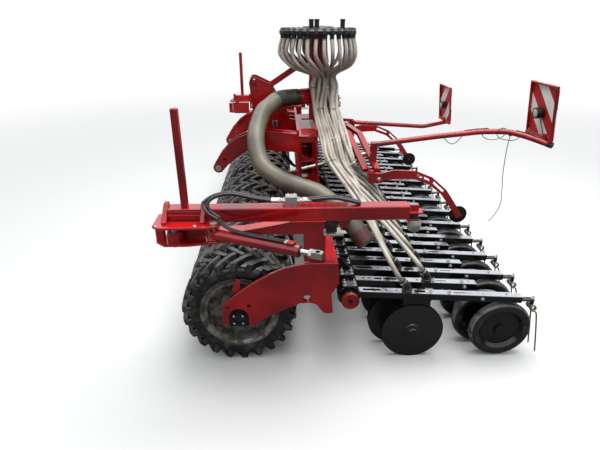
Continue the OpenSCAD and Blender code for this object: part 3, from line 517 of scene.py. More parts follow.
def slab(stock, outline, low, high, mark=0, chamfer=3, place=at, holes=()):
    """A plate between two heights, with round holes. Its outline runs anticlockwise; its edges are broken."""
    inner, n = [], len(outline)
    for k in range(n):
        before, here, after = (Vector(outline[(k + j) % n]) for j in (-1, 0, 1))
        first, second = (here - before).normalized(), (after - here).normalized()
        inward = Vector((-(first + second).y, (first + second).x)).normalized()
        inner.append(here + inward * (chamfer / max(inward.dot(Vector((-first.y, first.x))), 0.4)))
    rings = ((inner, low), (outline, low + chamfer), (outline, high - chamfer), (inner, high))
    points = [place(p[0], p[1], h) for ring, h in rings for p in ring]
    faces = [(r * n + k, r * n + (k + 1) % n, (r + 1) * n + (k + 1) % n, (r + 1) * n + k)
             for r in range(3) for k in range(n)]
    loops, lower, upper = [inner], list(range(n)), list(range(3 * n, 4 * n))
    for x, y, r in holes:
        steps = [2 * math.pi * k / HOLE_SIDES for k in range(HOLE_SIDES)]
        rim = [Vector((x + r * math.cos(a), y + r * math.sin(a))) for a in steps]
        foot = len(points)
        head = foot + HOLE_SIDES
        points += [place(p.x, p.y, h) for h in (low, high) for p in rim]
        for k in range(HOLE_SIDES):
            after = (k + 1) % HOLE_SIDES
            faces.append((foot + k, head + k, head + after, foot + after))
        loops.append(rim)
        lower += range(foot, head)
        upper += range(head, head + HOLE_SIDES)
    corners = sum(loops, [])
    for face in tessellate_polygon([[p.to_3d() for p in loop] for loop in loops]):
        a, b, c = (corners[k] for k in face)
        face = face if (b - a).cross(c - a) > 0 else face[::-1]
        faces += [tuple(lower[k] for k in face[::-1]), tuple(upper[k] for k in face)]
    stock.add(points, faces, mark)


def standing(stock, outline, y, thick, mark=0, chamfer=2, holes=()):
    """A plate that stands along the machine, y being its middle. It is drawn as seen from the left."""
    low, high = -y - thick / 2, -y + thick / 2
    slab(stock, outline, low, high, mark, chamfer, lambda x, z, h: at(x, -h, z), holes)


def smooth(points, n):
    """Points on a smooth curve through the given ones, n to a stretch."""
    points = [Vector(p) for p in points]
    out = []
    for i in range(len(points) - 1):
        a, b = points[max(i - 1, 0)], points[i]
        c, d = points[i + 1], points[min(i + 2, len(points) - 1)]
        for j in range(n):
            t = j / n
            out.append(0.5 * (2 * b + (c - a) * t + (2 * a - 5 * b + 4 * c - d) * t ** 2
                              + (3 * b - a - 3 * c + d) * t ** 3))
    return out + [points[-1]]


print("a round hole has", HOLE_SIDES, "sides")

# %% [markdown]
# ## Arched side plates
# A red plate at either end ties the packer's axle to the main beam. Its upper edge is an arch, cut with a
# torch from thick plate, and a slot in its front end lets the axle's bearing in. The outline is traced once:
# a smooth line for the arch, straight runs for the foot and half a circle for the slot. It then becomes a
# slab with real holes, so that the light falls through them; dark discs would look painted on.

# %% Arched side plates
PLATE_Y, PLATE_T = 1975, 20
PLATE_ARCH = [(-412, 462), (-395, 486), (-330, 546), (-250, 610), (-175, 659), (-98, 702), (-35, 729),
              (30, 750), (92, 764), (156, 771)]
PLATE_FOOT = [(322, 769), (333, 624), (284, 540), (298, 402), (286, 396), (262, 396), (236, 402),
              (190, 468), (150, 480), (84, 478), (-30, 425), (-117, 380), (-210, 319), (-250, 315)]
SLOT_R, SLOT_FOOT = 62, [(-374, 322), (-420, 330)]
SLOT_ARC = [(PACKER_X + SLOT_R * math.cos(a), PACKER_Z + SLOT_R * math.sin(a))
            for a in (math.radians(15 * k) for k in range(13))]
# Place and radius of each hole; a welded ring stands behind the first one
PLATE_HOLES = [(131, 513, 27), (-243, 466, 14), (-378, 458, 9)]
PLATE_RIB = [(228, 405), (246, 405), (246, 560), (228, 560)]
outline = [tuple(p) for p in smooth(PLATE_ARCH, 3)] + PLATE_FOOT + SLOT_ARC + SLOT_FOOT
x, z, r = PLATE_HOLES[0]
stock = Stock()
for side in (-1, 1):
    standing(stock, outline[::-1], side * PLATE_Y, PLATE_T, 0, 3.5, PLATE_HOLES)
    ring = at(x, side * (PLATE_Y - PLATE_T / 2), z)
    turned(stock, ring, (0, side, 0), [(0, r), (-18, r), (-18, r + 6), (0, r + 6)], 32)
    standing(stock, PLATE_RIB, side * (PLATE_Y - 13), 12)
stock.piece("arched_plates", [RED], "frame", "red_paint", 30, "side_plates")

# %% [markdown]
# ## Tubes
# Hoses, rods and cables are one ring of points, carried along a line and kept square to it. A curve with a
# bevel, as for the lighting cable, would do this too, but its texture runs from 0 to 1 whatever its length,
# and the helix needs metres. Each ring starts from the last one's direction, which keeps the tube from
# twisting.

# %% Tubes
def tube(stock, path, radius, sides=12, mark=0):
    """A round tube along points in metres. radius is in millimetres, one number or one for each point."""
    n = len(path)
    radii = radius if hasattr(radius, "__len__") else [radius] * n
    side = frame_on(path[1] - path[0])[1]
    points, faces, turns, run = [], [], [], [0.0]
    for i in range(n):
        heading = (path[min(i + 1, n - 1)] - path[max(i - 1, 0)]).normalized()
        side = (side - heading * side.dot(heading)).normalized()
        other = heading.cross(side)
        if i:
            run.append(run[-1] + (path[i] - path[i - 1]).length)
        for s in range(sides):
            a = 2 * math.pi * s / sides
            points.append(path[i] + (side * math.cos(a) + other * math.sin(a)) * (radii[i] * MM))
    for i in range(n - 1):
        for s in range(sides):
            t = (s + 1) % sides
            faces.append((i * sides + s, i * sides + t, (i + 1) * sides + t, (i + 1) * sides + s))
            u, w = s / sides, (s + 1) / sides
            turns.append([(u, run[i]), (w, run[i]), (w, run[i + 1]), (u, run[i + 1])])
    faces += [tuple(range(sides))[::-1], tuple(range((n - 1) * sides, n * sides))]
    turns += [[(0.0, 0.0)] * sides] * 2
    stock.add(points, faces, mark, turns)
    return run[-1]


print("tubes are ready")

# %% [markdown]
# ## Seed hoses
# One hose leads from each outlet of the distributor to its row. They drop, gather at a ring round the riser
# pipe, come down in a bundle and fan out over the coulters. The route is the drawing's own, so the hoses
# lie where the solids are; here each is round and carries the fine helix of such a hose.

# %% Rows of the drill
ROWS, PITCH = 28, 143
HEAD_X, HEAD_R, HEAD_Z = 312, 322, 1960
BEAM_X, BEAM_Z, ARM_SLOPE = 402, 513, math.radians(3.7)
NECK_LONG, NECK_SHORT, NECK_H = 785, 955, 78


def row_y(i):
    """How far row i lies from the middle of the machine."""
    return (i - (ROWS - 1) / 2) * PITCH


def arm_top(x):
    """Height of a coulter arm's upper face."""
    return BEAM_Z + 12 + 23 - (x - BEAM_X) * math.tan(ARM_SLOPE)


def neck_x(i):
    """Where the seed elbow of row i stands; long and short arms take turns."""
    return NECK_LONG if i % 2 == 0 else NECK_SHORT


print(ROWS, "rows from", row_y(0), "to", row_y(ROWS - 1), "mm")

# %% Routes of the seed hoses
def counted(i):
    """The side of a row and its number, counted from the outside."""
    return (-1, i) if i < ROWS / 2 else (1, ROWS - 1 - i)


def outlet_angle(i):
    """Angle of a row's outlet on the ring, from the rear."""
    s, k = counted(i)
    return math.radians(s * (180 - 12 * (k + 1)))


def seed_route(i):
    """The drawing's route, bellied out under the head. Where they hang free, no two hoses lie alike."""
    slack = random.Random(i)
    s, k = counted(i)
    a, y, x = outlet_angle(i), row_y(i), neck_x(i)
    gathered = s * math.radians(20 + 90 * (abs(math.degrees(a)) - 12) / 156)
    ring = 146 if k % 2 == 0 else 184
    column = (k // 2 - (ROWS / 4 - 1) / 2) * 36
    layer = (k % 2 - 0.5) * 39
    end_z = arm_top(x) + NECK_H

    def round_head(r, angle, z):
        return at(HEAD_X + r * math.cos(angle), r * math.sin(angle), z)

    route = [round_head(HEAD_R, a, HEAD_Z + 22), round_head(HEAD_R + 26, a, HEAD_Z - 115),
             round_head(ring + 128, a * 0.66 + gathered * 0.34, 1745),
             round_head(ring - 12, gathered, 1666), round_head(ring, gathered, 1560),
             at(388 + column, s * (205 + layer * 0.8), 1369 - layer * 0.6),
             at(452 + column, s * (420 + layer * 0.7), 1150 - layer * 0.7),
             at(490 + column, s * (690 + layer * 0.5), 1010 - layer * 0.8),
             at((490 + column + x - 60) * 0.5, s * (690 + layer * 0.5) * 0.45 + y * 0.55, 855 - layer),
             at(x - 100, y, end_z + 90), at(x - 40, y, end_z)]
    for k, reach in ((2, 10), (4, 10), (5, 14), (6, 15), (7, 12), (8, 7)):
        route[k] += Vector([slack.uniform(-reach, reach) * MM for axis in range(3)])
    return route


print("a route has", len(seed_route(0)), "points")

# %% Make the seed hoses
HOSE_R = 16.5
for word, rows in (("left", range(0, ROWS // 2)), ("right", range(ROWS // 2, ROWS))):
    stock = Stock()
    longest = max(tube(stock, smooth(seed_route(i), 8), HOSE_R, 12) for i in rows)
    stock.piece("seed_hose_bundle_" + word, [SEED_HOSE], "frame", "seed_hose", 60, "seed_hoses_" + word)
    print("longest seed hose", round(longest, 2), "m")

# %% [markdown]
# ## Hose clamps
# A clamp is a flat steel band with a small screw across it that draws it tight. Both are turned forms: the
# band about the hose, the screw about a line that passes just outside it.

# %% Hose clamps
def band(stock, centre, axis, inner, thick, width, mark=0):
    """A clamp round a hose, with the screw that draws it tight."""
    half = width / 2
    outer = inner + thick
    turned(stock, centre, axis, [(-half, inner), (-half, outer), (half, outer), (half, inner)], 20, mark)
    axis, first, second = frame_on(axis)
    seat = centre + first * ((outer + 3) * MM) - second * (11 * MM)
    turned(stock, seat, second, [(0, 0), (0, 5), (15, 5), (15, 7), (22, 7), (22, 0)], 6, mark)


print("clamps are ready")

# %% [markdown]
# ## Outlets of the distributor
# Round the rim of the head, each hose is clamped on a socket, and a knob above it shuts that row off. Three
# capped stubs stand on the lid. All are turned forms: a profile of heights and radii, swung round an
# upright axis at its place on the ring.

# %% Outlets of the distributor
SOCKET = [(20, 17), (20, 20.5), (29, 21), (31, 17.5), (38, 17.5), (40, 21), (52, 21)]
KNOB = [(46, 21), (50, 26), (66, 26), (70, 22), (84, 22), (88, 18), (98, 17), (100, 14), (100, 0)]
STUB = [(0, 26), (6, 26), (8, 20), (60, 20), (62, 22), (74, 22), (75, 0)]
STUB_PLACES, LID_Z = ((-69, -190), (-22, -200), (206, -140)), 2056
stock = Stock()
for i in range(ROWS):
    a = outlet_angle(i)
    foot = at(HEAD_X + HEAD_R * math.cos(a), HEAD_R * math.sin(a), HEAD_Z)
    turned(stock, foot, UP, SOCKET, 20)
    band(stock, foot + Vector((0, 0, 11 * MM)), UP, HOSE_R, 2.5, 12, 1)
    turned(stock, foot, UP, KNOB, 12)
for x, y in STUB_PLACES:
    turned(stock, at(HEAD_X + x, y, LID_Z), UP, STUB, 24)
stock.piece("outlet_sockets", [PLASTIC, ZINC], "frame", "black_plastic", 35, "outlets")

# %% [markdown]
# ## Feed hose
# The thick hose brings seed and air from the tank in front. It leaves the riser's branch, swings forward
# over the packer and hangs back over the beam, uncoupled, with its end loose on the coulters. A cuff with
# two clamps holds it on the branch; the cuff's dark, matte brown-grey and the clamps' dark steel are painted
# shade of the seed hoses that lie over that stretch. It is one tube whose radius goes up and down a little,
# for the ribs, and the end gets a coarse spiral of its own, red-brown and darker than the hose: the red-brown
# is the ribs' own colour, their darkness partly painted shade of the same hoses.

# %% Make the feed hose
FEED_ROUTE = [(125, -117, 1472), (61, -160, 1476), (-5, -208, 1477), (-66, -268, 1470), (-125, -338, 1436),
              (-188, -455, 1390), (-235, -700, 1250), (-190, -870, 1070), (-40, -1010, 985),
              (96, -1110, 960), (262, -1180, 915), (445, -1285, 790), (556, -1385, 668), (600, -1430, 618)]
FEED_R = 72.5
# Numbers of the points along the hose where the cuff ends, where its clamps lie and how long the end is
CUFF_END, CUFF_BANDS, END_RUN = 62, (4, 12), 25
END_RIBS, END_RIB = 30, [(-3, FEED_R - 1), (-2, FEED_R + 2.2), (2, FEED_R + 2.2), (3, FEED_R - 1)]
stock = Stock()
line = smooth([at(*p) for p in FEED_ROUTE], 20)
tube(stock, line, [FEED_R - (1.2 if k % 2 else 0) for k in range(len(line))], 36)
# The cuff and its two clamps: their dark colours are painted shade of the seed hoses above.
tube(stock, line[:CUFF_END], FEED_R + 2, 36, 1)
for k in CUFF_BANDS:
    band(stock, line[k], line[k + 1] - line[k - 1], FEED_R + 2, 2, 10, 2)
# The end's ribs: red-brown of their own, and darker as painted shade.
for k in range(1, END_RIBS):
    place = line[-1].lerp(line[-END_RUN], k / END_RIBS)
    turned(stock, place, line[-1] - line[-END_RUN], END_RIB, 36, 3)
stock.piece("feed_hose_cover", [FEED_HOSE, CUFF_PAINTED_SHADE, STEEL, RIB_PARTLY_PAINTED_SHADE], "frame", "feed_hose", 60, "feed_hose")

# %% [markdown]
# ## Bolts and boxes
# A bolt is three turned forms: a washer, a head with six sides and the stub of its thread. A box gets its
# broken edges directly from its numbers, 24 points and 26 faces, because a Bevel for each of some hundred
# boxes would take long.

# %% Bolts and boxes
# Width of a six-sided head over its flats, where its corners lie at a radius of 1
OVER_FLATS = 1.732


def bolt(stock, centre, axis, across=19, mark=0, stub=8):
    """A washer, a head that is across wide over its flats, and the end of the thread, standing on a face."""
    r, top = across / OVER_FLATS, across * 0.5
    turned(stock, centre, axis, [(-1, r * 1.25), (2, r * 1.25), (2.5, r * 1.15), (2.5, 0)], 16, mark)
    turned(stock, centre, axis, [(2, r), (across * 0.42, r), (top, r * 0.82), (top, 0)], 6, mark)
    if stub:
        turned(stock, centre, axis, [(top, r * 0.5), (top + stub, r * 0.5), (top + stub + 1, 0)], 8, mark)


def block(stock, low, high, mark=0, chamfer=3, place=at):
    """A box between two points, with all its edges broken. place turns its points into the frame's."""
    points = []
    for k in range(3):
        for signs in range(8):
            p = [high[i] if signs >> i & 1 else low[i] for i in range(3)]
            for i in range(3):
                if i != k:
                    p[i] += -chamfer if signs >> i & 1 else chamfer
            points.append(place(*p))
    faces = []
    for k in range(3):
        i, j = (k + 1) % 3, (k + 2) % 3
        for top in (0, 1):
            ring = [top << k | u << i | v << j for u, v in ((0, 0), (1, 0), (1, 1), (0, 1))]
            faces.append(tuple(k * 8 + q for q in (ring if top else ring[::-1])))
        for u in (0, 1):
            for v in (0, 1):
                q0, q1 = u << i | v << j, u << i | v << j | 1 << k
                strip = (i * 8 + q0, j * 8 + q0, j * 8 + q1, i * 8 + q1)
                faces.append(strip if u != v else strip[::-1])
    for q in range(8):
        corner = (q, 8 + q, 16 + q)
        faces.append(corner if bin(q).count("1") % 2 else corner[::-1])
    stock.add(points, faces, mark)


print("bolts and boxes are ready")

# %% [markdown]
# ## Coulter arms
# An arm is a sloping box that hangs in an eye round the coulter beam. Its wet top takes the light of the sky,
# and that sheen is also painted on: the top's strips are a pale, bluish metal. What breaks that light is what
# one sees: slots before and behind the seed elbow, round holes, bolts. A slot is really sunk into the arm, so
# that it stays dark from every side, and its walls and floor are a dark, matte finish of painted shade. A
# round hole is only a flat dark disc on the top, painted shade.

# %% Sizes of the coulter arms
ARM_W, ARM_H, ARM_RISE = 60, 46, 12
LONG_END, SHORT_END = 1550, 1297
SLOT_DEPTH = 26
ARM_EYE, EYE_TOP = [(-34, 52), (-34, 71), (-31, 74), (31, 74), (34, 71), (34, 52)], 76
# Start, end and width of each slot, measured along the arm from the coulter beam
LONG_SLOTS = [(91, 206, 22), (431, 503, 22), (693, 770, 9)]
SHORT_SLOTS = [(193, 241, 22), (255, 344, 22), (620, 690, 9)]
LONG_HOLES, SHORT_HOLES = (244, 312, 1050), (120, 156, 488)
LONG_BOLTS, SHORT_BOLTS = (539, 663), (602, 800)


def on_arm(s, w, h):
    """A point of an arm: s behind the beam, w across the machine and h above the arm's middle line."""
    c, t = math.cos(ARM_SLOPE), math.sin(ARM_SLOPE)
    return at(BEAM_X + s * c + h * t, w, BEAM_Z + ARM_RISE + h * c - s * t)


print("arms reach back to", LONG_END, "and", SHORT_END, "mm")

# %% One coulter arm
def arm_shell(stock, y, end_x, slots, edge=3):
    """The box of an arm, end_x being its rear end, with a closed top of painted sheen but for its sunken
    slots of painted shade.
    """
    first, last = 20, (end_x - BEAM_X) / math.cos(ARM_SLOPE)
    w, h = ARM_W / 2, ARM_H / 2
    inner = w - edge
    ring = [(inner, h), (w, h - edge), (w, edge - h), (inner, -h),
            (-inner, -h), (-w, edge - h), (-w, h - edge), (-inner, h)]
    walls = [(k, k + 8, k + 9, k + 1) for k in range(7)]
    stock.add([on_arm(s, y + a, b) for s in (first, last) for a, b in ring],
              walls + [tuple(range(8)), tuple(range(8, 16))[::-1]])
    cuts = sorted({first, last}.union(*(slot[:2] for slot in slots)))
    for a, b in zip(cuts, cuts[1:]):
        gap = next((slot[2] / 2 for slot in slots if slot[0] <= a < slot[1]), 0)
        for low, high in ((-inner, -gap), (gap, inner)):
            strip = [on_arm(s, y + v, h) for s, v in ((a, low), (b, low), (b, high), (a, high))]
            # The top's strips take the pale metal of painted sheen.
            stock.add(strip, [(0, 1, 2, 3)], 3)
        if gap:
            rim = ((a, -gap), (b, -gap), (b, gap), (a, gap))
            well = [on_arm(s, y + v, top) for top in (h, h - SLOT_DEPTH) for s, v in rim]
            # Walls and floor of the slot take the dark finish of painted shade.
            stock.add(well, [(k, (k + 1) % 4, 4 + (k + 1) % 4, 4 + k) for k in range(4)] + [(4, 5, 6, 7)], 1)


def arm_fittings(stock, y, holes, bolts):
    """What lies on an arm's top: flat discs of painted shade for its holes, bolts, and the four bolts of the
    clamp on its eye.
    """
    up = on_arm(0, 0, 1) - on_arm(0, 0, 0)
    for s in holes:
        # A hole is a flat dark disc just above the top: painted shade.
        turned(stock, on_arm(s, y, ARM_H / 2), up, [(0.4, 8), (0.4, 0)], 16, 1)
    for s in bolts:
        bolt(stock, on_arm(s, y, ARM_H / 2), up, 20, 2)
    for dx in (-30, 34):
        for dy in (-20, 20):
            bolt(stock, at(BEAM_X + dx, y + dy, BEAM_Z + EYE_TOP), UP, 15, 2, 12)


print("slots are", SLOT_DEPTH, "mm deep")

# %% Make the coulter arms
for word, first, end_x, slots, holes, bolts in (
        ("long", 0, LONG_END, LONG_SLOTS, LONG_HOLES, LONG_BOLTS),
        ("short", 1, SHORT_END, SHORT_SLOTS, SHORT_HOLES, SHORT_BOLTS)):
    stock = Stock()
    for i in range(first, ROWS, 2):
        y = row_y(i)
        arm_shell(stock, y, end_x, slots)
        turned(stock, at(BEAM_X, y, BEAM_Z), ACROSS, ARM_EYE, 32)
        block(stock, (BEAM_X - 48, y - 33, BEAM_Z + 62), (BEAM_X + 52, y + 33, BEAM_Z + EYE_TOP))
        arm_fittings(stock, y, holes, bolts)
    stock.piece("pierced_arms_" + word, [BLACK, PAINTED_SHADE_STEEL, ZINC, PAINTED_SHEEN_TOP], "frame", "black_paint", 30,
                "coulter_arms_" + word)

# %% [markdown]
# ## Seed elbows
# Where a seed hose meets its arm it is pushed over a black rubber elbow and held by a zinc clamp. The elbow
# stands in a collar on the arm and leads the seed down between the discs.

# %% Seed elbows
ELBOW_R, ELBOW_BACK = 27, 40
COLLAR = [(0, 32), (4, 34), (14, 34), (17, 30), (29, 29.5), (30, 26)]


def seed_elbow(stock, i):
    """The elbow of row i, a little wider at its foot, with its collar, clamp and two bolts."""
    x, y = neck_x(i), row_y(i)
    z = arm_top(x)
    path = smooth([at(x, y, z - 2), at(x, y, z + 22), at(x - 6, y, z + 44),
                   at(x - ELBOW_BACK, y, z + NECK_H)], 4)
    widths = [ELBOW_R - 3.5 * max(0, k / (len(path) - 1) - 0.4) / 0.6 for k in range(len(path))]
    tube(stock, path, widths, 16)
    turned(stock, at(x, y, z), UP, COLLAR, 20)
    band(stock, path[-2], path[-1] - path[-4], 23, 2.5, 11, 1)
    for s in (-1, 1):
        bolt(stock, at(x + 24 * s, y + 22, z), UP, 11, 1, 5)


stock = Stock()
for i in range(ROWS):
    seed_elbow(stock, i)
stock.piece("seed_elbows", [PLASTIC, ZINC], "frame", "black_plastic", 40, "seed_necks")

# %% [markdown]
# ## Press wheels
# A press wheel has a rubber tyre with a flat, worn tread on a dished black rim. The dished rim is a solid
# already, so only the tyre is made anew: two flanks and a tread, each turned from its own profile, because
# the edge between them is sharp and the tread's rubber is polished grey by the soil.

# %% Press wheel tyres
PRESS_X = {"long": 1453, "short": 1385}
PRESS_R = 210
PRESS_FLANK = [(-29, 149), (-31, 162), (-35, 176), (-36, 184), (-34.5, 191), (-30, 197)]
PRESS_TREAD = [(-30, 197), (-22, 204), (-13, 208.5), (0, 210), (13, 208.5), (22, 204), (30, 197)]
FAR_FLANK = [(-h, r) for h, r in reversed(PRESS_FLANK)]

for word, first in (("long", 0), ("short", 1)):
    stock = Stock()
    for i in range(first, ROWS, 2):
        for profile, mark in ((PRESS_FLANK, 0), (PRESS_TREAD, 1), (FAR_FLANK, 0)):
            turned(stock, at(PRESS_X[word], row_y(i), PRESS_R), ACROSS, profile, 48, mark)
    stock.piece("press_tyre_rings_" + word, [RUBBER, WORN_TREAD], "press_wheels_" + word, "tyre", 40,
                "press_tyres_" + word)

# %% [markdown]
# ## Spring tines
# Behind each long arm a pair of tines levels the soil. Each is one steel rod, wound into a coil that lets
# it give way to stones, and drawn out into a long leg. The coil is a circle whose middle moves sideways, the
# leg a smooth curve, and one tube runs along both.

# %% Spring tines
TINE_X = LONG_END + 90
COIL_R, COIL_STEPS, COIL_WIDE, ROD_OF_TINE = 18, 40, 24, 5


def spring_tine(stock, y):
    """The holder at the end of an arm, and a tine to either side of it."""
    z = arm_top(LONG_END) - ARM_H / math.cos(ARM_SLOPE)
    block(stock, (LONG_END - 30, y - 20, z + 6), (TINE_X - 8, y + 20, z + 18), 1, 2)
    block(stock, (TINE_X - 10, y - 12, z - 40), (TINE_X + 6, y + 12, z + 18), 1, 2)
    bolt(stock, at(TINE_X - 2, y, z + 18), UP, 19, 2)
    for s in (-1, 1):
        coil = []
        for k in range(COIL_STEPS + 1):
            a = math.pi / 8 * k
            aside = y + s * (10 + COIL_WIDE * k / COIL_STEPS)
            coil.append(at(TINE_X - COIL_R * math.sin(a), aside, z - 44 + COIL_R * math.cos(a)))
        leg = smooth([coil[-1], at(TINE_X + 22, y + s * 36, z - 78), at(TINE_X + 45, y + s * 41, z - 200),
                      at(TINE_X + 74, y + s * 46, 42)], 4)
        tube(stock, coil + leg[1:], ROD_OF_TINE, 6)


stock = Stock()
for i in range(0, ROWS, 2):
    spring_tine(stock, row_y(i))
stock.piece("spring_tines", [SPRING, BLACK, ZINC], "frame", "dark_steel", 40, "harrow_tines")

# %% [markdown]
# ## Tubes of the warning boards
# The tubes that carry the boards are bent, not mitred, and each ends in a black cap. A tube is given by the
# corners of its middle line; each corner is rounded off by a short curve before the tube is drawn. The seat
# and the lip that hold a board lean with it, so one function gives a board's own directions.

# %% Places of the tubes and boards
LEFT_TUBE = [(725, -700, 1170), (1240, -755, 1250), (1615, -790, 1297), (1790, -860, 1312),
             (1890, -980, 1300), (2010, -1138, 1268)]
RIGHT_TUBE = [(735, 640, 1080), (1590, 700, 1010), (1955, 990, 1000)]
BOARD_TUBE_R, TUBE_BEND = 22.5, 60
BOARDS = {"left": (2000, -1150, 1305), "right": (1930, 785, 1030)}
BOARD_W, BOARD_H, BOARD_LEAN = 375, 395, math.radians(6)
CABLE_CLIP = ((1797, -889, 1280), (1815, -871, 1304))
TUBE_CAP = [(-38, 23), (-38, 23.6), (1, 23.6), (3, 21), (3, 0)]


def on_board(word):
    """Gives the function that turns a board's own point (to the rear, across, up) into the frame's."""
    x, y, z = BOARDS[word]
    c, t = math.cos(BOARD_LEAN), math.sin(BOARD_LEAN)
    return lambda u, v, w: at(x + u * c - w * t, y + v, z + u * t + w * c)


print("the boards measure", BOARD_W, "by", BOARD_H, "mm")

# %% Bend the board tubes
def bent(corners, reach):
    """The path with each corner rounded off, reach millimetres to either side of it."""
    corners = [Vector(p) for p in corners]
    path = [corners[0]]
    for before, corner, after in zip(corners, corners[1:], corners[2:]):
        a = corner + (before - corner).normalized() * reach
        b = corner + (after - corner).normalized() * reach
        path += [a * (1 - t) ** 2 + corner * 2 * t * (1 - t) + b * t ** 2 for t in (0, 0.2, 0.4, 0.6, 0.8, 1)]
    return [at(*p) for p in path + [corners[-1]]]


def board_tube(stock, word, corners):
    """The tube with its foot, and the seat and lip of its board."""
    tube(stock, bent(corners, TUBE_BEND), BOARD_TUBE_R, 24)
    x, y, z = corners[0]
    block(stock, (x, y - 30, z - 160), (x + 50, y + 30, z + 24))
    last, end = Vector(corners[-2]), Vector(corners[-1])
    seat = last.lerp(end, (BOARDS[word][0] - 30 - last.x) / (end.x - last.x))
    v, w = seat.y - 20 - BOARDS[word][1], seat.z - BOARDS[word][2]
    block(stock, (-36, v, w), (-20, v + 40, 44), place=on_board(word))
    block(stock, (-26, 2, -16), (4, BOARD_W - 2, 1), 0, 3, on_board(word))
    turned(stock, at(*end), end - last, TUBE_CAP, 24, 1)


stock = Stock()
board_tube(stock, "left", LEFT_TUBE)
board_tube(stock, "right", RIGHT_TUBE)
block(stock, *CABLE_CLIP, 1, 2)
stock.piece("bent_board_tubes", [RED, PLASTIC], "frame", "red_paint", 35, "board_tubes")

# %% [markdown]
# ## Turns of the lighting cable
# Before it hangs down, the lamp's cable lies along the left tube: a slack bight, two round turns that hang
# under the tube, and a run up the board to the lamp. It is held fast there, so it is a plain piece and no
# cord. Its points are counted along the tube's middle line, which keeps them near the tube.

# %% Turns of the lighting cable
def tube_point(corners, run):
    """The point that lies run millimetres behind the start of a tube's middle line."""
    for a, b in zip(corners, corners[1:]):
        a, b = Vector(a), Vector(b)
        if run <= (b - a).length:
            return a.lerp(b, run / (b - a).length)
        run -= (b - a).length
    return b


# Place along the tube of the bight's points, and how far each lies towards the left and below the tube
BIGHT = [(560, 0, -24), (590, 26, 10), (640, 27, 62), (690, 24, 66), (735, 26, 12), (760, 0, -25)]
TURNS_START, TURNS_REACH, TURNS_R, TURNS_HANG, TURNS_STEPS = 940, 72, 27, 20, 49
ALONG_TUBE = (1190, 1240, 1300, 1340)
UP_THE_BOARD = ((-34, 90, 40), (-28, 150, 120), (-26, 180, 160))


def from_tube(run, left, up):
    """A point beside the left tube's middle line."""
    middle = tube_point(LEFT_TUBE, run)
    return at(middle.x, middle.y - left, middle.z + up)


turns = [from_tube(run, left, -drop) for run, left, drop in BIGHT]
for k in range(TURNS_STEPS):
    s, c = math.sin(math.radians(15 * k)), math.cos(math.radians(15 * k))
    turns.append(from_tube(TURNS_START + 4.6 * k - TURNS_REACH * s, TURNS_R * s,
                           TURNS_R * c - TURNS_HANG * (1 - c)))
turns += [from_tube(run, 0, 26) for run in ALONG_TUBE] + [on_board("left")(*p) for p in UP_THE_BOARD]
stock = Stock()
tube(stock, smooth(turns, 2), CABLE_D / 2, 6)
stock.piece("held_cable", [RUBBER], "frame", None, 60)

# %% [markdown]
# ## Warning boards and lamps
# Each board is a striped sheet in a red frame that leans forward a little, with a round black lamp on it.
# Sheet and frame are boxes in the board's own directions, and the lamp is turned about the line that
# stands square to the sheet, with its clear lens as a profile of its own.

# %% Boards and lamps
LAMP_R, LAMP_LEN = 42, 60
DRUM = [(0, 30), (0, 38), (8, LAMP_R), (52, LAMP_R), (LAMP_LEN, LAMP_R - 1), (LAMP_LEN, 36)]
DRUM_LENS = [(LAMP_LEN - 4, 37), (LAMP_LEN, 30), (LAMP_LEN + 2, 16), (LAMP_LEN + 2.5, 0)]
W, H, BAR = BOARD_W, BOARD_H, 12
BARS = [((0, 0), (W, BAR)), ((0, H - BAR), (W, H)),
        ((0, BAR), (BAR, H - BAR)), ((W - BAR, BAR), (W, H - BAR))]
boards, lamps = Stock(), Stock()
for word in BOARDS:
    put = on_board(word)
    block(boards, (0, 0, 0), (4, W, H), 0, 1, put)
    for low, high in BARS:
        block(boards, (-20, *low), (0.5, *high), 1, 2, put)
    seat = put(0, W / 2, H * 0.45)
    ahead = put(-1, W / 2, H * 0.45) - seat
    turned(lamps, seat, ahead, DRUM, 32)
    turned(lamps, seat, ahead, DRUM_LENS, 32, 1)
boards.piece("striped_boards", [FILM, RED], "frame", "board_film", 30, "warning_boards")
lamps.piece("lamp_drums", [PLASTIC, LENS], "frame", "black_plastic", 35, "board_lamps")

# %% [markdown]
# ## Ties
# A tie lies round its hoses like a rubber band: it follows their outer side and goes straight from one to
# the next. That line is the hull of all their outlines, found by walking round the points and leaving out
# each one that lies inside. A thin tube runs along it.

# %% Ties
def strap(stock, centres, axis, reach, mark=0, thick=2.5):
    """A tie drawn round a bundle: the rounded outline of its members, seen along the bundle."""
    axis, first, second = frame_on(axis)
    middle = sum(centres, Vector()) / len(centres)
    rim = []
    for centre in centres:
        off = centre - middle
        for a in (math.radians(30 * k) for k in range(12)):
            rim.append((off.dot(first) + reach * MM * math.cos(a),
                        off.dot(second) + reach * MM * math.sin(a)))
    rim = sorted(set(rim))
    hull = []
    for run in (rim, rim[::-1]):
        part = []
        for p in run:
            while len(part) > 1 and ((part[-1][0] - part[-2][0]) * (p[1] - part[-2][1])
                                     - (part[-1][1] - part[-2][1]) * (p[0] - part[-2][0])) <= 0:
                part.pop()
            part.append(p)
        hull += part[:-1]
    loop = [middle + first * u + second * v for u, v in hull]
    tube(stock, loop + loop[:2], thick, 6, mark)


print("ties are ready")

# %% [markdown]
# ## Hoses of the side arms
# A valve block lies on each folded beam. Two hoses loop forward from it and down to the cylinder, and two run
# back. They are tied in pairs with black ties. A hose's points are counted from the valve, and the two of a
# pair lie to either side of one line. All of it is written for the right side and mirrored.

# %% Routes of the arm hoses
PIVOT_Y, ARM_TOP = 2010, 1170
VALVE_LEN, VALVE_H, PORT_Z = 66, 60, ARM_TOP + 32
ARM_HOSE_R, ARM_HOSE_SPREAD = 9.5, 12
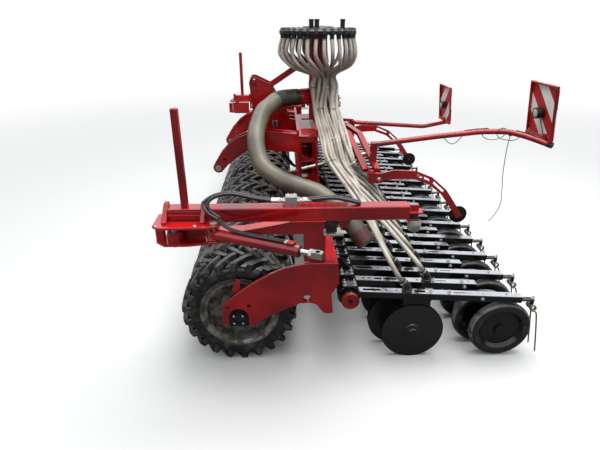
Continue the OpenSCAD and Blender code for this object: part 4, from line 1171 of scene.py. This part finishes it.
# Place of a point from the valve's ports in x, y and z, and which way the pair spreads in y and z
ARM_LOOP = [(-78, 0, 0, 0, 1), (-180, 0, 18, 0, 1), (-300, 4, 46, 0, 1), (-392, 22, 38, 0.4, 0.9),
            (-442, 58, 8, 1, 0.2), (-420, 88, -32, 0.6, -0.8), (-370, 104, -62, 0.3, -0.95)]
ARM_TAIL = [(104, 0, 0, 0, 1), (190, 0, 8, 0, 1), (280, 0, 12, 0, 1), (370, 0, -6, 0, 1), (430, 0, -22, 0, 1)]


def beside(side, row, s):
    """A point of one of the two hoses; s is 1 or -1."""
    x, y, z, spread_x, spread_y = row
    return at(x + s * ARM_HOSE_SPREAD * spread_x,
              side * (PIVOT_Y + y + s * ARM_HOSE_SPREAD * spread_y), PORT_Z + z)


print("the loop has", len(ARM_LOOP), "points, the tail", len(ARM_TAIL))

# %% Make the arm hoses
def hose_fitting(stock, side, s, turn):
    """Ferrule, nut and nipple between a hose and the valve; turn is 1 behind the valve and -1 before it."""
    near = at(VALVE_LEN if turn > 0 else 0, side * (PIVOT_Y + s * ARM_HOSE_SPREAD), PORT_Z)
    ahead = (turn, 0, 0)
    turned(stock, near, ahead, [(-1, 11), (15, 11), (17, 9), (17, 0)], 6, 1)
    turned(stock, near, ahead, [(15, 7.5), (26, 7.5)], 16, 1)
    turned(stock, near, ahead, [(26, 0), (26, 10), (28, 12), (38, 12), (40, 10), (40, 0)], 6, 1)
    grooves = [(low + 9 * k, r) for k in range(4) for low, r in ((44, 11.5), (48, 10.6))]
    turned(stock, near, ahead, [(38, 0), (38, 11)] + grooves + [(80, 11), (80, 0)], 16, 1)


def arm_hose_set(side):
    """Four hoses with their fittings, the valve with its four bolts, and five ties."""
    stock = Stock()
    for s in (-1, 1):
        for rows in (ARM_LOOP, ARM_TAIL):
            tube(stock, smooth([beside(side, row, s) for row in rows], 8), ARM_HOSE_R, 12)
        hose_fitting(stock, side, s, 1)
        hose_fitting(stock, side, s, -1)
    y = side * PIVOT_Y
    block(stock, (0, y - 26, ARM_TOP - 1), (VALVE_LEN, y + 26, ARM_TOP + VALVE_H), 1, 2)
    for x in (15, 51):
        for dy in (13, -13):
            bolt(stock, at(x, y + dy, ARM_TOP + VALVE_H), UP, 12, 1, 0)
    for rows, k in ((ARM_LOOP, 2), (ARM_LOOP, 3), (ARM_LOOP, 4), (ARM_LOOP, 5), (ARM_TAIL, 2)):
        pair = [beside(side, rows[k], s) for s in (-1, 1)]
        ahead = beside(side, rows[k + 1], 0) - beside(side, rows[k - 1], 0)
        strap(stock, pair, ahead, ARM_HOSE_R + 1.5, 2, 2)
    return stock


for side, word in SIDES:
    arm_hose_set(side).piece("arm_hose_pair_" + word, [RUBBER, ZINC, PLASTIC], "side_arm_" + word,
                             "black_rubber", 40, "arm_hoses_" + word)

# %% [markdown]
# ## Welded side arms
# A side arm carries a track marker when it is swung out. It is welded from a lever plate that turns on the
# pivot pin, a head with two slanting cheeks, a folded beam and a post. Each plate is a slab with its own
# outline and broken edges, because the light on those edges shows that the arm is plate and not a casting.
# What is a plain bar comes from a table of boxes.

# %% Plates and boxes of a side arm
SIDE_Z, BEAM_END, PIVOT_X = 1086, 712, -645
PIN_X, PIN_Y, PIN_Z = -400, 2106, 1040
LEVER_TOP, BORE_R = 1102, 25.1
LEVER = [(-740, 1950), (-420, 1950), (-370, 2050), (-362, 2098), (-376, 2128), (-404, 2143), (-440, 2150),
         (-705, 2150), (-738, 2118)]
LEVER_FOOT = [(-470, 1990), (-370, 1990), (-370, 2130), (-434, 2140)]
CHEEK = [(1972, 1102), (2108, 1102), (2108, 1113), (2010, 1184), (1996, 1190), (1972, 1190)]
GUSSET = [(322, 1008), (372, 1046), (385, 1086), (302, 1086)]
# Lower corner and upper corner of each box, and how far its edges are broken
HEAD_BOXES = [((-664, 2046, 1103), (-476, 2054, 1160), 3), ((-664, 1966, 1103), (-476, 1974, 1160), 3),
              ((-664, 1966, 1158), (-476, 2054, ARM_TOP), 3), ((-662, 2053, 1132), (-478, 2063, 1137), 1)]
BEAM_BOXES = [((-452, 1966, SIDE_Z), (BEAM_END, 2054, ARM_TOP), 5),
              ((-588, 1991, 1169), (-550, 2029, 1718), 3), ((-470, 1970, 992), (-450, 2040, 1087), 3)]
PAD_BOXES = [((702, 1976, 1116), (792, 2044, 1128), 3), ((700, 1976, 1082), (710, 2044, 1117), 3),
             ((700, 1980, 1074), (772, 2040, 1082), 2), ((702, 2004, 1126), (772, 2016, 1164), 3)]
PIVOT_RING = [(0, BORE_R), (0, 42), (27, 42), (30, 39), (30, BORE_R)]
PIN = [(0, 0), (0, 12.5), (128, 12.5), (130, 10), (130, 0)]
PIN_COLLAR = [(0, 22), (9, 22), (12, 19), (12, 12)]
print("an arm has", len(HEAD_BOXES + BEAM_BOXES + PAD_BOXES), "plain bars beside its plates")

# %% Weld the side arms
def welded_arm(side):
    """Lever plate, head with two cheeks, post, folded beam, and the bracket of the pad at its end."""
    stock = Stock()
    pivot = (PIVOT_X, side * PIVOT_Y, BORE_R)
    for outline, low, high, chamfer, holes in ((LEVER, SIDE_Z, LEVER_TOP, 3, [pivot]),
                                               (LEVER_FOOT, 992, 1004, 2, [])):
        slab(stock, [(x, side * y) for x, y in outline][::side], low, high, 0, chamfer, at, holes)
    cheek = [(side * y, z) for y, z in CHEEK][::side]
    for x in (-690, -478):
        slab(stock, cheek, x, x + 28, 0, 4, lambda a, b, h: at(h, a, b))
    for (x0, y0, z0), (x1, y1, z1), chamfer in HEAD_BOXES + BEAM_BOXES + PAD_BOXES:
        y0, y1 = sorted((side * y0, side * y1))
        block(stock, (x0, y0, z0), (x1, y1, z1), 0, chamfer)
    standing(stock, GUSSET, side * PIVOT_Y, 14)
    turned(stock, at(PIVOT_X, side * PIVOT_Y, LEVER_TOP), UP, PIVOT_RING, 32)
    turned(stock, at(PIN_X, side * PIN_Y, 988), UP, PIN, 24, 1)
    turned(stock, at(PIN_X, side * PIN_Y, LEVER_TOP), UP, PIN_COLLAR, 24, 1)
    for x in (-712, -500):
        bolt(stock, at(x, side * 2130, LEVER_TOP), UP, 13, 1, 0)
    return stock


for side, word in SIDES:
    welded_arm(side).piece("welded_arm_" + word, [RED, ZINC], "side_arm_" + word, "red_paint", 35,
                           "side_arm_" + word)

# %% [markdown]
# ## Fittings of the cylinders
# Barrel and rod are solids already. Two thin hoses lie along the barrel to the ports at its far end, so they
# turn with the barrel; its end has a red ring and a black wiper, and the rod has a nut before its eye. These
# pieces are added to the solids and stand in for none. A function gives the barrel's own directions.

# %% Cylinder fittings
BARREL_TURN, BARREL_END, ROD_R = math.radians(25), 520, 16
BARREL_HOSE = [(34, 96), (62, 72), (110, 50), (180, 41), (300, 39), (420, 40), (446, 40)]
END_RING = [(498, 31), (498, 35), (511, 35), (BARREL_END, 32), (BARREL_END, 17)]
WIPER = [(BARREL_END, 24), (524, 24), (527, 20), (527, 16.2)]
ROD_NUT = [(572, ROD_R), (572, 22), (574, 24), (588, 24), (590, 22), (590, 0)]
EYE_RIM = [(0, 13.5), (0, 19), (1.5, 19), (1.5, 13.5)]


def on_barrel(side):
    """Gives the function that turns a point (along the barrel, aside, up) into the frame's."""
    c, t = math.cos(BARREL_TURN), math.sin(BARREL_TURN)
    return lambda u, v, w: at(PIN_X + u * c - v * t, side * (PIN_Y + u * t + v * c), PIN_Z + w)


for side, word in SIDES:
    put = on_barrel(side)
    along = put(1, 0, 0) - put(0, 0, 0)
    stock = Stock()
    for v in (-8, 8):
        tube(stock, smooth([put(u, v, w) for u, w in BARREL_HOSE], 6), 6.5, 10)
        turned(stock, put(438, v, 40), along, [(0, 0), (0, 8), (14, 8), (14, 0)], 6, 1)
    block(stock, (450, -19, 30), (490, 19, 46), 2, 2, put)
    turned(stock, put(0, 0, 0), along, END_RING, 32, 2)
    turned(stock, put(0, 0, 0), along, WIPER, 32, 3)
    stock.piece("cylinder_fittings_" + word, [RUBBER, ZINC, RED, PLASTIC], "barrel_" + word, None, 35)

    stock = Stock()
    turned(stock, put(0, 0, 0), along, ROD_NUT, 6)
    turned(stock, put(620, 0, 17), UP, EYE_RIM, 24)
    stock.piece("rod_nut_" + word, [ZINC], "rod_" + word, None, 35)

# %% [markdown]
# ## Buffers and pads
# A folded arm rests on rubber: a block under the beam, which meets a small zinc plate on the frame, and a
# round grey drum at the beam's end. The drum has bulged under its load, so its profile is widest near its
# upper half. Block and drum ride on the arm, the plate stays on the frame.

# %% Buffers and pads
DRUM_FOOT = 999
PAD = [(0, 0), (0, 22), (4, 31), (11, 37), (24, 40), (44, 40.5), (60, 39), (70, 36), (76, 34)]
for side, word in SIDES:
    y = side * PIVOT_Y
    stock = Stock()
    block(stock, (235, y - 30, SIDE_Z - 80), (298, y + 30, SIDE_Z), 0, 4)
    turned(stock, at(BEAM_END + 42, y, DRUM_FOOT), UP, PAD, 32, 1)
    block(stock, (BEAM_END + 2, y - 27, 1082.5), (BEAM_END + 56, y + 27, 1115.5))
    stock.piece("rubber_pads_" + word, [RUBBER, GREY_RUBBER], "side_arm_" + word, "black_rubber", 40,
                "arm_buffers_" + word)

    seat = Stock()
    low, high = sorted((side * (PIVOT_Y - 62), side * (PIVOT_Y + 27)))
    block(seat, (222, low, 984.5), (337, high, 995.6), 0, 1)
    seat.piece("pad_seat_" + word, [ZINC], "frame", None, 30)

# %% [markdown]
# ## Bolts and small fittings of the frame
# Small bright things tell the eye how large a machine is. They are gathered in one piece: bolts on the
# headstock, on the openers' posts, on the markers and on the axle's bearings, with the rings and caps that
# finish a tube's end. The ties are a second piece. Each is drawn round a few hoses, at a point of their
# routes, so that it follows if a route changes.

# %% Bolts and small fittings
PIN_RING = [(-1, 16.3), (-1, 31), (5, 31), (6, 29), (6, 16.3)]
BEAM_CAP = [(-1, 46), (4, 47), (5, 49), (5, 54), (3, 56), (-8, 56.6)]
RIM_TAB = [(-352, 560), (-300, 560), (-290, 640), (-318, 655)]


def frame_fittings():
    """All bolts of the frame, the rings of its pins, the caps of its coulter beam and a tab at each end."""
    stock = Stock()
    for y in (-60, 60):
        for z in (965, 1160):
            bolt(stock, at(107, y, z), (-1, 0, 0), 30, 0, 14)
    for i in range(ROWS):
        x = PRESS_X["long" if i % 2 == 0 else "short"] - 195
        for dx in (-18, 22):
            bolt(stock, at(x + dx, row_y(i) + 50, arm_top(x) - 26), ACROSS, 17)
        bolt(stock, on_arm(x + 25 - BEAM_X, row_y(i) - ARM_W / 2, 0), (0, -1, 0), 19)
    for side in (-1, 1):
        outward = (0, side, 0)
        bolt(stock, at(770, side * 900, 936), outward, 24, 0, 6)
        turned(stock, at(-275, side * 90, 1618), outward, PIN_RING, 32, 1)
        bolt(stock, at(-384, side * (PLATE_Y + PLATE_T / 2), 345), outward, 13, 1, 0)
        for a in (math.radians(45 + 90 * k) for k in range(4)):
            place = at(PACKER_X + 40 * math.cos(a), side * 2012, PACKER_Z + 40 * math.sin(a))
            bolt(stock, place, outward, 11, 0, 0)
        cap = at(BEAM_X, side * 2024, BEAM_Z)
        turned(stock, cap, outward, BEAM_CAP, 40, 1)
        # A small flat disc in the middle of each cap, in the dark finish of painted shade.
        turned(stock, cap, outward, [(13.4, 9), (13.4, 0)], 20, 2)
        standing(stock, RIM_TAB, side * 1954, 10, 1)
    return stock


frame_fittings().piece("frame_bolts", [ZINC, RED, PAINTED_SHADE_STEEL], "frame", None, 35)

# %% Ties on the seed hoses
# Point of the route at which each tie lies, first and last hose in it, and its finish: black or pale
TIES = [(4, 0, 2, 0), (4, 6, 8, 1), (5, 2, 5, 0), (5, 8, 11, 0), (6, 4, 7, 1), (7, 10, 13, 1), (7, 0, 3, 0)]
ties = Stock()
for first in (0, ROWS // 2):
    for stage, low, high, mark in TIES:
        routes = [seed_route(first + k) for k in range(low, high + 1)]
        ahead = sum((route[stage + 1] - route[stage - 1] for route in routes), Vector())
        strap(ties, [route[stage] for route in routes], ahead, 18.5, mark, 3)
ties.piece("bundle_ties", [PLASTIC, CABLE_TIE], "frame", None, 40)

# %% [markdown]
# ## Rails and hoses on the headstock
# On either side a zinc rail runs back from the headstock and carries black ties. Two hydraulic hoses leave
# their couplings on the headstock's left plate and run down to the beam. Both are tubes along a line, the
# straight one with two points and the hoses with a smooth curve.

# %% Rails
RAIL_Y, RAIL_START, RAIL_END = 562, (150, 925), (740, 1066)
stock = Stock()
for side in (-1, 1):
    low, high = (at(x, side * RAIL_Y, z) for x, z in (RAIL_START, RAIL_END))
    tube(stock, [low, high], 14.6, 20)
    for k in range(1, 9):
        place = low.lerp(high, k / 9.5)
        strap(stock, [place, place], (590, 0, 141), 16, 1, 2)
stock.piece("hose_rails", [ZINC, PLASTIC], "frame", None, 40)

# %% Hoses on the headstock
COUPLING = [(-1, 13), (16, 13), (16, 10), (36, 10), (36, 0)]
stock = Stock()
for k in (-1, 1):
    turned(stock, at(-87 + 17 * k, -90, 1246), (0, -1, 0), COUPLING, 6, 1)
    route = [(-87 + 17 * k, -122, 1246), (-82 + 15 * k, -150, 1200), (-58 + 12 * k, -150, 1080),
             (-8 + 11 * k, -142, 950), (60 + 10 * k, -136, 850), (104, -130 + 12 * k, 812)]
    tube(stock, smooth([at(*p) for p in route], 6), 9, 10)
stock.piece("headstock_hoses", [RUBBER, ZINC], "frame", None, 40)

# %% [markdown]
# ## Floor and light
# The machine stands on a plain pale floor under an even, overcast sky. The sky's light is weaker than the
# white that the camera and the wet paint see, so tops shine without washing the colours out.

# %% Sky
def light_path(finish, *kinds):
    """1 for the kinds of ray that are named, 0 for others."""
    rays = node(finish, "LightPath", {})
    total = rays.outputs[kinds[0]]
    for kind in kinds[1:]:
        total = sums(finish, "MAXIMUM", total, rays.outputs[kind])
    return total


def make_sky():
    """Three skies in one: white for the camera, a bright dome for what is mirrored, a dim one that lights."""
    sky = bpy.data.worlds.new("overcast sky")
    sky.use_nodes = True
    bpy.context.scene.world = sky
    seen = light_path(sky, "Is Camera Ray", "Is Transmission Ray")
    mirrored = light_path(sky, "Is Glossy Ray")
    place = node(sky, "TexCoord", {})
    up = node(sky, "SeparateXYZ", {0: place.outputs["Generated"]}).outputs[2]
    dome = mix(sky, level(sky, up, 0.05, 0.5), (0.10, 0.105, 0.11), (2.4, 2.45, 2.5))
    shade = mix(sky, level(sky, up, 0.12, 1.0), (0.03, 0.032, 0.034), (1.65, 1.68, 1.73))
    light = mix(sky, mirrored, shade, dome)
    background = sky.node_tree.nodes["Background"]
    sky.node_tree.links.new(mix(sky, seen, light, (1.0, 1.0, 1.0)), background.inputs["Color"])
    background.inputs["Strength"].default_value = 1.0


make_sky()
print("sky:", bpy.context.scene.world.name)

# %% Floor and lamps
def lamp(name, place, aim, size, watts):
    """A round, soft lamp at a place, aimed at a point."""
    data = bpy.data.lights.new(name, "AREA")
    data.shape = "DISK"
    data.size = size
    data.energy = watts
    thing = bpy.data.objects.new(name, data)
    thing.location = place
    thing.rotation_euler = (aim - place).to_track_quat("-Z", "Y").to_euler()
    bpy.context.scene.collection.objects.link(thing)


def make_floor():
    """A round floor that keeps the machine's shadow and fades to white far out."""
    finish = new_finish("pale floor", (0.62, 0.62, 0.61), 0.6)
    mesh = bpy.data.meshes.new("floor")
    radius, steps = 14.0, 64
    angles = [2 * math.pi * i / steps for i in range(steps)]
    ring = [(radius * math.cos(a), radius * math.sin(a), 0) for a in angles]
    far = [(x * 5, y * 5, 0) for x, y, z in ring]
    faces = [tuple(range(steps))]
    faces += [(i, (i + 1) % steps, steps + (i + 1) % steps, steps + i)[::-1] for i in range(steps)]
    mesh.from_pydata(ring + far, [], faces)
    mesh.materials.append(finish)
    floor = bpy.data.objects.new("floor", mesh)
    bpy.context.scene.collection.objects.link(floor)
    place = node(finish, "TexCoord", {})
    far_off = node(finish, "VectorMath", {0: place.outputs["Object"]}, operation="LENGTH")
    looked_at = light_path(finish, "Is Camera Ray")
    fade = sums(finish, "MULTIPLY", level(finish, far_off.outputs["Value"], 4.0, 11.0), looked_at)
    dress(finish, colour=mix(finish, looked_at, (0.13, 0.13, 0.125), (0.56, 0.56, 0.55)))
    white = node(finish, "Emission", {"Color": (1, 1, 1, 1), "Strength": 1.0})
    skin = finish.node_tree.nodes["Principled BSDF"]
    both = node(finish, "MixShader", {0: fade, 1: skin.outputs[0], 2: white.outputs[0]})
    out = finish.node_tree.nodes["Material Output"]
    finish.node_tree.links.new(both.outputs[0], out.inputs["Surface"])


make_floor()
lamp("soft_top", Vector((0.5, -0.8, 6.0)), Vector((0, 0, 0.6)), 5.0, 420)
lamp("soft_front", Vector((-3.5, -5.5, 3.5)), Vector((0, 0, 0.8)), 3.5, 14)
print("floor and two lamps")
